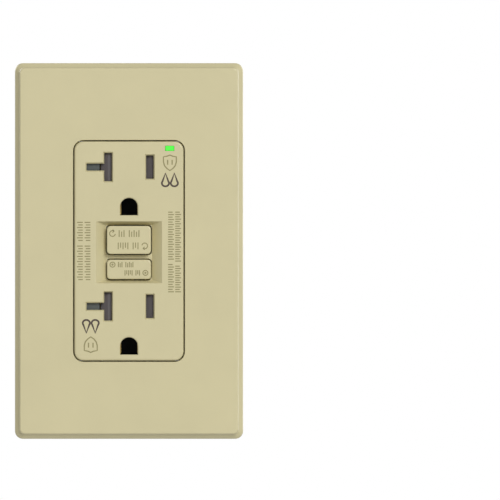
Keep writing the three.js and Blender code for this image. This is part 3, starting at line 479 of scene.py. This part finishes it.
# ------------------------------------------------------------------ mesh helpers
WELD_MM = 0.0005  # vertices closer than this are one
FLAT_DEGREES = 0.4  # faces that turn by less than this are one
SHARP_DEGREES = 32  # edges that turn by more than this are rounded


def smooth(thing: bpy.types.Object) -> None:
    """Shades every face of a piece smooth."""
    for polygon in thing.data.polygons:
        polygon.use_smooth = True


def soften(node: str, width_mm: float, segments: int = 2) -> None:
    """Rounds the sharp edges of a CAD node with modifiers, leaving its own mesh as it is.

    Args:
        node: The CAD node's name.
        width_mm: How far each round reaches from the edge.
        segments: Facets across each round.
    """
    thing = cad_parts[node]
    weld = thing.modifiers.new("weld", "WELD")
    weld.merge_threshold = WELD_MM * MM
    flat = thing.modifiers.new("flat", "DECIMATE")
    flat.decimate_type = "DISSOLVE"
    flat.angle_limit = math.radians(FLAT_DEGREES)
    bevel = thing.modifiers.new("round", "BEVEL")
    bevel.width = width_mm * MM
    bevel.segments = segments
    bevel.limit_method = "ANGLE"
    bevel.angle_limit = math.radians(SHARP_DEGREES)
    bevel.miter_outer = "MITER_ARC"
    bevel.harden_normals = True
    smooth(thing)
    thing.modifiers.new("normals", "WEIGHTED_NORMAL").keep_sharp = True


def new_piece(name: str, vertices: Iterable, faces: Iterable, stock: Stock, body: str) -> bpy.types.Object:
    """Makes a mesh piece, gives it a finish and puts it on a body.

    Args:
        name: The piece's name.
        vertices: Its points in metres, in the frame.
        faces: Its faces, as lists of point numbers.
        stock: The finish.
        body: The CAD body it moves with.

    Returns:
        The new object.
    """
    mesh = bpy.data.meshes.new(name)
    mesh.from_pydata([tuple(v) for v in vertices], [], [tuple(f) for f in faces])
    mesh.validate()
    shell = bmesh.new()
    shell.from_mesh(mesh)
    bmesh.ops.remove_doubles(shell, verts=shell.verts, dist=1e-7)
    bmesh.ops.recalc_face_normals(shell, faces=shell.faces)
    shell.to_mesh(mesh)
    shell.free()
    thing = bpy.data.objects.new(name, mesh)
    bpy.context.scene.collection.objects.link(thing)
    stock.on(thing)
    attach(thing, body)
    LOG.info("made %s on %s with %d faces", name, body, len(mesh.polygons))
    return thing


def skin(rings: int, sides: int) -> list[list[int]]:
    """Joins rings of points into a closed skin.

    Args:
        rings: How many rings there are.
        sides: How many points each ring has.

    Returns:
        The faces, with a cap at each end.
    """
    faces = []
    for i in range(rings - 1):
        for k in range(sides):
            n = (k + 1) % sides
            faces.append([i * sides + k, i * sides + n, (i + 1) * sides + n, (i + 1) * sides + k])
    last = (rings - 1) * sides
    return faces + [list(range(sides)), [last + k for k in reversed(range(sides))]]


def across(axis: Vector) -> tuple[Vector, Vector]:
    """Finds two directions square to each other and to one of the frame's axes."""
    side = Vector((axis.z, axis.x, axis.y))
    return side, axis.cross(side)


def tube(points: Sequence[Vector], radius: float, sides: int = 8) -> tuple[list, list]:
    """Skins a round wire along a line of points.

    Args:
        points: The wire's centre line.
        radius: The wire's radius.
        sides: Facets round the wire.

    Returns:
        The vertices and faces, closed at both ends.
    """
    rings = []
    side = Vector((0.0, 0.0, 1.0))
    for i, point in enumerate(points):
        ahead = points[min(i + 1, len(points) - 1)] - points[max(i - 1, 0)]
        ahead.normalize()
        side = side - ahead * side.dot(ahead)
        if side.length < 1e-6:
            side = ahead.orthogonal()
        side.normalize()
        other = ahead.cross(side)
        rings.append([point + (side * math.cos(a) + other * math.sin(a)) * radius
                      for a in (2 * math.pi * k / sides for k in range(sides))])
    vertices = [v for ring in rings for v in ring]
    return vertices, skin(len(rings), sides)


# ------------------------------------------------------------------ springs and threads
@dataclass
class CoilSpring:
    """A compression spring with closed ends, wound to fit between two seats."""

    node: str
    joint: str
    axis: Vector
    body: str = "root"
    fixed_at_far_end: bool = True
    turns: float = 6
    wire_mm: float = 0.3
    keep: float = 0.4  # share of its length left when squashed
    steps_per_turn: int = 20
    end_climb: float = 0.04  # share of the length that a closed end climbs, per mm of wire

    def build(self) -> None:
        """Winds the spring inside its CAD node's box."""
        low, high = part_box(self.node)
        centre = (low + high) / 2
        length = abs((high - low).dot(self.axis))
        width = max(d for d in (high - low) - self.axis * length)
        wire = self.wire_mm * MM / 2
        mean = width / 2 - wire
        side, other = across(self.axis)
        start = centre - self.axis * (length / 2 - wire)
        steps = int(self.turns * self.steps_per_turn)
        points = []
        for i in range(steps + 1):
            t = i / steps
            climb = self.closed_end_pitch(t)
            angle = t * self.turns * 2 * math.pi
            points.append(start + self.axis * (length - 2 * wire) * climb
                          + (side * math.cos(angle) + other * math.sin(angle)) * mean)
        vertices, faces = tube(points, wire)
        piece = new_piece(f"{self.node}_wound", vertices, faces, Stock.SPRING, self.body)
        smooth(piece)
        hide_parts(self.node)
        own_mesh(piece)

    def closed_end_pitch(self, t: float) -> float:
        """Climbs nearly flat over the first and last turn, and evenly between them.

        Args:
            t: The share of the wire wound so far.

        Returns:
            The share of the length climbed.
        """
        end = 1 / self.turns
        slow = self.end_climb * self.wire_mm
        if t < end:
            return slow * t / end
        if t > 1 - end:
            return 1 - slow * (1 - t) / end
        return slow + (1 - 2 * slow) * (t - end) / (1 - 2 * end)


@dataclass
class RolledThread:
    """The rolled thread round a screw's plain CAD shank, which points backwards."""

    node: str
    start_mm: float
    length_mm: float
    major_mm: float = 1.74
    root_mm: float = 1.45
    pitch_mm: float = 0.794
    fade_mm: float = 0.8  # the ridge rises and dies away over this length
    flat: float = 1.25  # above 1, the ridge has a flat crest
    sides: int = 20
    rings_per_pitch: int = 6

    def build(self) -> None:
        """Skins the helical ridge from rings a fraction of the pitch apart."""
        low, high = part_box(self.node)
        centre = Vector(((low.x + high.x) / 2, 0, (low.z + high.z) / 2))
        side, other = across(BACK)
        rings = max(int(self.length_mm / self.pitch_mm * self.rings_per_pitch), 2)
        vertices = []
        for i in range(rings + 1):
            along = self.length_mm * i / rings
            fade = min(1.0, along / self.fade_mm, (self.length_mm - along) / self.fade_mm)
            for k in range(self.sides):
                turn = k / self.sides
                phase = (along / self.pitch_mm - turn) % 1
                ridge = min(1.0, (1 - abs(2 * phase - 1)) * self.flat) * fade
                radius = (self.root_mm + (self.major_mm - self.root_mm) * ridge) * MM
                angle = 2 * math.pi * turn
                vertices.append(centre + BACK * (self.start_mm + along) * MM
                                + (side * math.cos(angle) + other * math.sin(angle)) * radius)
        new_piece(f"{self.node}_thread", vertices, skin(rings + 1, self.sides), Stock.SCREW,
                  "root")


@dataclass
class ContactLeaf:
    """The bent brass leaf behind the test button, which the button's stem presses flat."""

    node: str = "test_contact"
    joint: str = "test_travel"
    thick_mm: float = 0.3
    keep: float = 0.45  # share of its depth left when pressed
    bends: tuple[Point, ...] = ((1.0, 0.0), (0.3, 0.05), (0.12, 0.14), (0.02, 0.4), (0.0, 0.7),
                                (0.02, 0.88), (0.16, 1.0))  # shares of its depth and height

    def build(self) -> None:
        """Bends the strip inside its CAD node's box."""
        low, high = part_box(self.node)
        deep = high.y - low.y
        tall = high.z - low.z
        thick = self.thick_mm * MM
        vertices = []
        for share, up in self.bends:
            y = low.y + share * (deep - thick)
            z = low.z + up * tall
            vertices += [Vector((low.x, y, z)), Vector((high.x, y, z)),
                         Vector((high.x, y + thick, z)), Vector((low.x, y + thick, z))]
        piece = new_piece(f"{self.node}_leaf", vertices, skin(len(self.bends), 4), Stock.BRASS,
                          "root")
        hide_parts(self.node)
        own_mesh(piece)


# ------------------------------------------------------------------ marks on the face
def ribbon(points: Outline, width: float, closed: bool = False) -> tuple[list, list]:
    """Lays a flat stroke of even width along a line, in the plane of the mark.

    Args:
        points: The line's points, in millimetres.
        width: The stroke's width, in millimetres.
        closed: Whether the line ends where it starts.

    Returns:
        The stroke's flat vertices and its faces.
    """
    count = len(points)
    vertices, faces = [], []
    for i, (x, y) in enumerate(points):
        before = points[i - 1] if i or closed else points[i]
        after = points[(i + 1) % count] if i + 1 < count or closed else points[i]
        dx, dy = after[0] - before[0], after[1] - before[1]
        size = math.hypot(dx, dy) or 1
        nx, ny = -dy / size * width / 2, dx / size * width / 2
        vertices += [(x + nx, y + ny), (x - nx, y - ny)]
    for i in range(count if closed else count - 1):
        a, b = 2 * i, 2 * ((i + 1) % count)
        faces.append([a, a + 1, b + 1, b])
    return vertices, faces


class Glyph(Enum):
    """The plain symbols that stand on the face in place of words."""

    SHIELD = "shield"
    DROPS = "drops"
    CYCLE = "cycle"
    PRESS = "press"

    def strokes(self) -> list[Stroke]:
        """Draws the symbol's lines in a square from -1 to 1."""
        return {Glyph.SHIELD: shield, Glyph.DROPS: drops,
                Glyph.CYCLE: cycle, Glyph.PRESS: press}[self]()


def arc(x: float, y: float, radius: float, start: float, end: float, steps: int = 16) -> Outline:
    """Places points along an arc.

    Args:
        x: Its centre across.
        y: Its centre upwards.
        radius: Its radius.
        start: The angle it starts at, in degrees.
        end: The angle it ends at, in degrees.
        steps: How many straight pieces it has.

    Returns:
        The points.
    """
    angles = [math.radians(start + (end - start) * i / steps) for i in range(steps + 1)]
    return [(x + radius * math.cos(a), y + radius * math.sin(a)) for a in angles]


def shield() -> list[Stroke]:
    """Draws a shield with two slots in it: the outlet is guarded by shutters.

    Returns:
        Its strokes.
    """
    right = [(0.0, 0.95), (0.35, 0.8), (0.8, 0.72), (0.8, 0.1), (0.68, -0.35), (0.4, -0.7)]
    left = [(-x, y) for x, y in reversed(right[1:])]
    outline = right + [(0.0, -0.98)] + left
    return [(outline, True), ([(-0.28, 0.35), (-0.28, -0.25)], False),
            ([(0.28, 0.35), (0.28, -0.25)], False)]


def drops() -> list[Stroke]:
    """Draws two water drops side by side: the outlet may get wet."""
    bowls = ((x, arc(x, -0.42, 0.42, -215, 35, 18)) for x in (-0.52, 0.52))
    return [([(x, 0.92)] + list(reversed(bowl)), True) for x, bowl in bowls]


def cycle() -> list[Stroke]:
    """Draws a turning arrow: put it back on."""
    round_line = arc(0, 0, 0.72, 60, 350, 22)
    return [(round_line, False), ([(0.02, 0.98), (0.44, 0.62), (0.02, 0.26)], False)]


def press() -> list[Stroke]:
    """Draws a ring with a dot: press here."""
    return [(arc(0, 0, 0.8, 0, 345, 22), True), (arc(0, 0, 0.2, 0, 330, 8), True)]


@dataclass
class FaceMark:
    """One mark: strokes laid on a front face, slightly proud of it."""

    name: str
    centre_mm: Point
    plane_m: float
    body: str
    stock: Stock
    turned: bool = False
    width_mm: float = 0.32
    height_mm: float = 0.03
    lines: list[Stroke] = field(default_factory=list)
    sunk: float = 1.6  # thickness over height, so that the stroke starts below the face

    def build(self) -> None:
        """Lays the strokes flat on the face and thickens them."""
        sign = -1 if self.turned else 1
        vertices, faces = [], []
        for points, closed in self.lines:
            flat, quads = ribbon(points, self.width_mm, closed)
            start = len(vertices)
            for u, v in flat:
                x = self.centre_mm[0] + sign * u
                z = self.centre_mm[1] + sign * v
                vertices.append(Vector((x * MM, self.plane_m - self.height_mm * MM, z * MM)))
            faces += [[start + i for i in quad] for quad in quads]
        piece = new_piece(self.name, vertices, faces, self.stock, self.body)
        thick = piece.modifiers.new("thick", "SOLIDIFY")
        thick.thickness = self.height_mm * self.sunk * MM
        thick.offset = -1 if piece.data.polygons[0].normal.y < 0 else 1


def scaled(glyph: Glyph, half_width: float, half_height: float) -> list[Stroke]:
    """Brings a symbol's lines to their size in millimetres."""
    return [([(x * half_width, y * half_height) for x, y in points], closed)
            for points, closed in glyph.strokes()]


GROUP_GAP = 2.2  # space between groups of ticks, over the space between ticks
SHORT_TICK = 0.28  # where every second tick ends above the row's middle, over the height


def tick_row(length: float, height: float, groups: Sequence[int], upright: bool,
             offset: Point = (0.0, 0.0)) -> list[Stroke]:
    """Draws a row of short ticks in groups, like the scale on a gauge.

    Args:
        length: The row's whole length, in millimetres.
        height: The height of the longest tick.
        groups: How many ticks stand in each group.
        upright: Whether the row runs up the face instead of across it.
        offset: Where the row's middle is.

    Returns:
        The ticks as lines.
    """
    pitch = length / (sum(groups) - len(groups) + GROUP_GAP * (len(groups) - 1))
    lines = []
    place = 0.0
    for group in groups:
        for i in range(group):
            along = -length / 2 + place * pitch
            top = height / 2 if i % 2 == 0 else height * SHORT_TICK
            ends = [(along, -height / 2), (along, top)]
            if upright:
                ends = [(y, x) for x, y in ends]
            lines.append(([(x + offset[0], y + offset[1]) for x, y in ends], False))
            place += 1
        place += GROUP_GAP - 1
    return lines


# ------------------------------------------------------------------ sub-assemblies
@dataclass
class WallPlate:
    """The screwless plate: its snap-on cover and the sub-plate under it."""

    edge_mm: float = 0.12
    screw_edge_mm: float = 0.08
    thread_start_mm: float = -1.2
    thread_mm: float = 10.1

    def build(self) -> None:
        """Softens the sub-plate and threads the two plate screws."""
        soften("sub_plate", self.edge_mm)
        for end in ENDS:
            soften(f"plate_screw_{end}", self.screw_edge_mm)
            RolledThread(f"plate_screw_{end}", self.thread_start_mm, self.thread_mm).build()

    def dress(self) -> None:
        """Gives both mouldings the ivory finish."""
        for node in ("cover_plate", "sub_plate"):
            Stock.IVORY.on(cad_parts[node])


@dataclass
class CornerMarks:
    """The two symbols beside one outlet: a shield drawn in painted shade that stands in for a moulded
    mark, over printed drops.
    """

    end: str
    shield_mm: Point
    drops_mm: Point
    turned: bool
    shield_half_mm: Point = (2.45, 2.45)
    shield_line_mm: float = 0.36
    drops_half_mm: Point = (2.6, 2.25)
    drops_line_mm: float = 0.55

    def build(self, plane: float) -> None:
        """Lays both symbols on the face.

        Args:
            plane: The depth of the face along Y, in metres.
        """
        # the shield's darker ivory is painted shade, not a colour of its own
        FaceMark(f"guard_mark_{self.end}", self.shield_mm, plane, "root", Stock.PAINTED_SHADE_STROKE,
                 self.turned, self.shield_line_mm,
                 lines=scaled(Glyph.SHIELD, *self.shield_half_mm)).build()
        FaceMark(f"weather_mark_{self.end}", self.drops_mm, plane, "root", Stock.PRINT,
                 self.turned, self.drops_line_mm,
                 lines=scaled(Glyph.DROPS, *self.drops_half_mm)).build()


@dataclass
class GuideTicks:
    """One row of ticks up the side of the face, drawn in painted shade that stands in for moulded ticks.
    """

    name: str
    centre_mm: Point
    length_mm: float
    groups: tuple[int, ...]
    turned: bool
    height_mm: float = 1.75
    line_mm: float = 0.3

    def build(self, plane: float) -> None:
        """Lays the row on the face.

        Args:
            plane: The depth of the face along Y, in metres.
        """
        # the ticks' darker ivory is painted shade
        FaceMark(f"guide_ticks_{self.name}", self.centre_mm, plane, "root", Stock.PAINTED_SHADE_STROKE,
                 self.turned, self.line_mm,
                 lines=tick_row(self.length_mm, self.height_mm, self.groups, True)).build()


@dataclass
class ButtonMarks:
    """The same symbol and short row of ticks twice on a button, once for each way up, in painted shade
    that stands in for moulded marks.
    """

    node: str
    body: str
    glyph: Glyph
    spots_mm: tuple[Point, Point]
    half_mm: float
    length_mm: float
    groups: tuple[int, ...] = (3, 5)
    line_mm: float = 0.28
    tick_height: float = 1.7  # over half the symbol's height
    ticks_aside_mm: float = 0.35
    glyph_aside_mm: float = 0.5

    def build(self) -> None:
        """Lays both copies on the button's front."""
        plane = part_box(self.node)[0].y
        for place, spot in enumerate(self.spots_mm):
            ticks = tick_row(self.length_mm, self.tick_height * self.half_mm, self.groups, False,
                             (self.half_mm + self.ticks_aside_mm, 0.0))
            symbol = [([(u - self.length_mm / 2 - self.glyph_aside_mm, v) for u, v in points],
                       closed) for points, closed in scaled(self.glyph, self.half_mm, self.half_mm)]
            # the marks' darker ivory is painted shade
            FaceMark(f"{self.node}_mark_{place + 1}", spot, plane, self.body, Stock.PAINTED_SHADE_STROKE,
                     place == 1, self.line_mm, lines=symbol + ticks).build()


@dataclass
class OutletFace:
    """The front moulding with its buttons, shutters, lens and marks."""

    button_edge_mm: float = 0.18
    button_segments: int = 3
    small_edge_mm: float = 0.08
    corners: tuple[CornerMarks, ...] = (
        CornerMarks("upper", (12.45, 26.85), (12.45, 21.55), False),
        CornerMarks("lower", (-11.6, -28.5), (-11.6, -22.85), True))
    rows: tuple[GuideTicks, ...] = (
        GuideTicks("left_outer", (-14.9, 0.0), 17.4, (8, 14), True),
        GuideTicks("left_inner", (-12.6, 0.0), 17.4, (8, 14), True),
        GuideTicks("right_inner", (12.8, -0.3), 24.2, (12, 20), False),
        GuideTicks("right_outer", (14.95, -0.3), 24.2, (12, 22), False))
    buttons: tuple[ButtonMarks, ...] = (
        ButtonMarks("reset_button", "reset", Glyph.CYCLE, ((-1.5, 5.3), (1.3, 1.55)), 1.2, 6.0),
        ButtonMarks("test_button", "test", Glyph.PRESS, ((-2.3, -4.15), (2.3, -6.65)), 0.95, 4.4))

    def build(self) -> None:
        """Softens the buttons, lens and small shutters and lays the marks."""
        for button in self.buttons:
            soften(button.node, self.button_edge_mm, self.button_segments)
        soften("light_pipe", self.small_edge_mm)
        for end in ENDS:
            soften(f"leg_shutter_{end}", self.small_edge_mm)
        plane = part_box("face_housing")[0].y
        for mark in self.corners + self.rows:
            mark.build(plane)
        for button in self.buttons:
            button.build()

    def dress(self) -> None:
        """Ivory on the mouldings, greys on the shutters, green on the lens."""
        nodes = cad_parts
        Stock.IVORY.on(nodes["face_housing"])
        for button in self.buttons:
            Stock.IVORY_BUTTON.on(nodes[button.node])
        for end in ENDS:
            Stock.SHUTTER.on(nodes[f"main_shutter_{end}"])
            Stock.LEG_SHUTTER.on(nodes[f"leg_shutter_{end}"])
        Stock.LENS.on(nodes["light_pipe"])


@dataclass
class Chassis:
    """The strap, the rear housing and everything that is screwed to them."""

    housing_edge_mm: float = 0.25
    housing_screw_edge_mm: float = 0.08
    ground_screw_edge_mm: float = 0.12
    terminal_screw_edge_mm: float = 0.15
    clamp_edge_mm: float = 0.12
    thread_start_mm: float = 1.0
    thread_mm: float = 20.0

    def build(self) -> None:
        """Softens the housing, screws and clamps, and threads the long screws."""
        soften("rear_housing", self.housing_edge_mm)
        for end in ENDS:
            RolledThread(f"mounting_screw_{end}", self.thread_start_mm, self.thread_mm).build()
            for side in ("left", "right"):
                soften(f"housing_screw_{end}_{side}", self.housing_screw_edge_mm)
        soften("ground_screw", self.ground_screw_edge_mm)
        for feed in ("line", "load"):
            for pole in ("hot", "neutral"):
                soften(f"{feed}_{pole}_screw", self.terminal_screw_edge_mm)
                soften(f"{feed}_{pole}_clamp", self.clamp_edge_mm)

    def dress(self) -> None:
        """Metal on the screws and strap, charcoal on the housing."""
        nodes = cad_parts
        Stock.STRAP.on(nodes["mounting_strap"])
        Stock.BODY.on(nodes["rear_housing"])
        Stock.GREEN_SCREW.on(nodes["ground_screw"])
        for end in ENDS:
            for node in (f"plate_screw_{end}", f"mounting_screw_{end}",
                         f"housing_screw_{end}_left", f"housing_screw_{end}_right"):
                Stock.SCREW.on(nodes[node])
        for feed in ("line", "load"):
            Stock.BRASS_SCREW.on(nodes[f"{feed}_hot_screw"])
            Stock.BRASS.on(nodes[f"{feed}_hot_clamp"])
            Stock.SCREW.on(nodes[f"{feed}_neutral_screw"])
            Stock.SILVER_BRASS.on(nodes[f"{feed}_neutral_clamp"])


@dataclass
class InnerWorks:
    """Contacts, latch, solenoid and board, behind the face."""

    edge_mm: float = 0.08
    crisp: tuple[str, ...] = ("shutter_bed", "reset_pin")  # these keep the CAD's sharp edges
    finishes: dict[str, Stock] = field(default_factory=lambda: {
        "shutter_bed": Stock.BLACK_NYLON, "contact_tray": Stock.BLACK_NYLON,
        "hot_bus": Stock.BRASS, "neutral_bus": Stock.BRASS,
        "ground_contact_upper": Stock.BRASS, "ground_contact_lower": Stock.BRASS,
        "line_hot_terminal": Stock.BRASS, "line_neutral_terminal": Stock.SILVER_BRASS,
        "line_hot_arm": Stock.COPPER, "line_neutral_arm": Stock.COPPER,
        "latch_block": Stock.NATURAL_NYLON, "latch_plate": Stock.STRAP,
        "solenoid_bobbin": Stock.NATURAL_NYLON,
        "solenoid_coil": Stock.WIRE, "plunger": Stock.SCREW, "reset_pin": Stock.SCREW,
        "circuit_board": Stock.BOARD, "differential_core": Stock.FERRITE,
        "neutral_core": Stock.FERRITE, "core_holder": Stock.NATURAL_NYLON,
        "varistor": Stock.BLUE_EPOXY, "thyristor": Stock.EPOXY, "control_chip": Stock.EPOXY,
        "indicator_led": Stock.NATURAL_NYLON,
    })

    def build(self) -> None:
        """Softens the hidden pieces and winds the springs."""
        for node in self.finishes:
            if node not in self.crisp:
                soften(node, self.edge_mm)
        for end in ENDS:
            CoilSpring(f"main_shutter_spring_{end}", f"main_shutter_{end}_slide", ACROSS,
                       turns=6, wire_mm=0.22, keep=0.31).build()
            CoilSpring(f"leg_shutter_spring_{end}", f"leg_shutter_{end}_slide", UP,
                       fixed_at_far_end=False, turns=8, wire_mm=0.22, keep=0.6).build()
        CoilSpring("reset_spring", "reset_travel", BACK, turns=7, wire_mm=0.42, keep=0.83).build()
        CoilSpring("plunger_spring", "plunger_stroke", UP, turns=5, wire_mm=0.36,
                   keep=0.62).build()
        ContactLeaf().build()

    def dress(self) -> None:
        """Gives each hidden piece the finish of its own material."""
        for node, stock in self.finishes.items():
            stock.on(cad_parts[node])


# ------------------------------------------------------------------ studio
@dataclass
class SoftLight:
    """A square soft light that faces the outlet."""

    name: str
    place_m: tuple[float, float, float]
    size_m: float
    power_w: float

    def build(self) -> None:
        """Hangs the light and turns it to the outlet."""
        lamp = bpy.data.lights.new(self.name, "AREA")
        lamp.size = self.size_m
        lamp.energy = self.power_w
        thing = bpy.data.objects.new(self.name, lamp)
        bpy.context.scene.collection.objects.link(thing)
        thing.location = self.place_m
        thing.rotation_euler = (-Vector(self.place_m)).to_track_quat("-Z", "Y").to_euler()
        thing.visible_camera = False


@dataclass
class Studio:
    """A plain pale floor, soft light from the upper right and a square-on camera."""

    frame_width_m: float = 0.152  # what the camera sees across, at the outlet
    distance_m: float = 4.0
    aside_m: float = 0.0368  # the outlet stands left of the middle of the view
    above_m: float = 0.0003
    clip_m: float = 20.0
    floor_m: float = -0.27
    floor_half_m: float = 1.3
    floor_colour: str = "#CFCFCF"
    floor_roughness: float = 0.8
    fill_below: float = 0.12  # strength of the even light from straight below
    fill_above: float = 0.47
    lights: tuple[SoftLight, ...] = (
        SoftLight("key", (0.95, -2.6, 1.15), 1.1, 55.0),
        SoftLight("rim_left", (-1.6, 1.9, 1.0), 1.4, 30.0),
        SoftLight("rim_right", (1.7, 1.6, 0.6), 1.4, 22.0),
    )

    def build(self) -> None:
        """Sets the world, lights, floor, camera and colour handling."""
        scene = bpy.context.scene
        scene.view_settings.view_transform = "Standard"
        scene.view_settings.look = "None"
        self.world()
        for light in self.lights:
            light.build()
        self.floor()
        self.camera()

    def world(self) -> None:
        """White behind the outlet, and an even, weaker fill on it."""
        world = bpy.data.worlds.new("studio")
        bpy.context.scene.world = world
        world.use_nodes = True
        tree = world.node_tree
        tree.nodes.clear()
        seen = add_node(tree, "ShaderNodeLightPath").outputs["Is Camera Ray"]
        toward = add_node(tree, "ShaderNodeTexCoord").outputs["Generated"]
        up = add_node(tree, "ShaderNodeSeparateXYZ", links={"Vector": toward}).outputs["Z"]
        level = add_node(tree, "ShaderNodeMapRange",
                         {"From Min": -1.0, "From Max": 1.0, "To Min": self.fill_below,
                          "To Max": self.fill_above},
                         {"Value": up}).outputs["Result"]
        fill = add_node(tree, "ShaderNodeBackground", {"Color": (1, 1, 1, 1)},
                        {"Strength": level})
        white = add_node(tree, "ShaderNodeBackground", {"Color": (1, 1, 1, 1), "Strength": 1.0})
        both = add_node(tree, "ShaderNodeMixShader", links={
            0: seen, 1: fill.outputs["Background"], 2: white.outputs["Background"]})
        add_node(tree, "ShaderNodeOutputWorld", links={"Surface": both.outputs["Shader"]})

    def floor(self) -> None:
        """A pale floor below the outlet, too short to show behind it."""
        half = self.floor_half_m
        corners = [(-half, -half), (half, -half), (half, half), (-half, half)]
        mesh = bpy.data.meshes.new("floor")
        mesh.from_pydata([(x, y, self.floor_m) for x, y in corners], [], [(0, 1, 2, 3)])
        thing = bpy.data.objects.new("floor", mesh)
        bpy.context.scene.collection.objects.link(thing)
        pale = bpy.data.materials.new("pale_floor")
        pale.use_nodes = True
        shader = pale.node_tree.nodes["Principled BSDF"]
        shader.inputs["Base Color"].default_value = linear(self.floor_colour)
        shader.inputs["Roughness"].default_value = self.floor_roughness
        mesh.materials.append(pale)

    def camera(self) -> None:
        """A long lens, level and square to the wall."""
        lens = bpy.data.cameras.new("camera")
        lens.sensor_width = 36.0
        thing = bpy.data.objects.new("camera", lens)
        bpy.context.scene.collection.objects.link(thing)
        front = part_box("cover_plate")[0].y
        lens.lens = lens.sensor_width * self.distance_m / self.frame_width_m
        thing.location = (self.aside_m, front - self.distance_m, self.above_m)
        thing.rotation_euler = (math.radians(90), 0, 0)
        lens.clip_end = self.clip_m
        bpy.context.scene.camera = thing


def main() -> None:
    """Builds the studio and every sub-assembly, and reports each."""
    logging.basicConfig(level=logging.INFO, format="%(name)s: %(message)s")
    Studio().build()
    for assembly in (WallPlate(), OutletFace(), Chassis(), InnerWorks()):
        assembly.build()
        assembly.dress()
        LOG.info("finished %s", type(assembly).__name__)


if __name__ == "__main__":
    main()
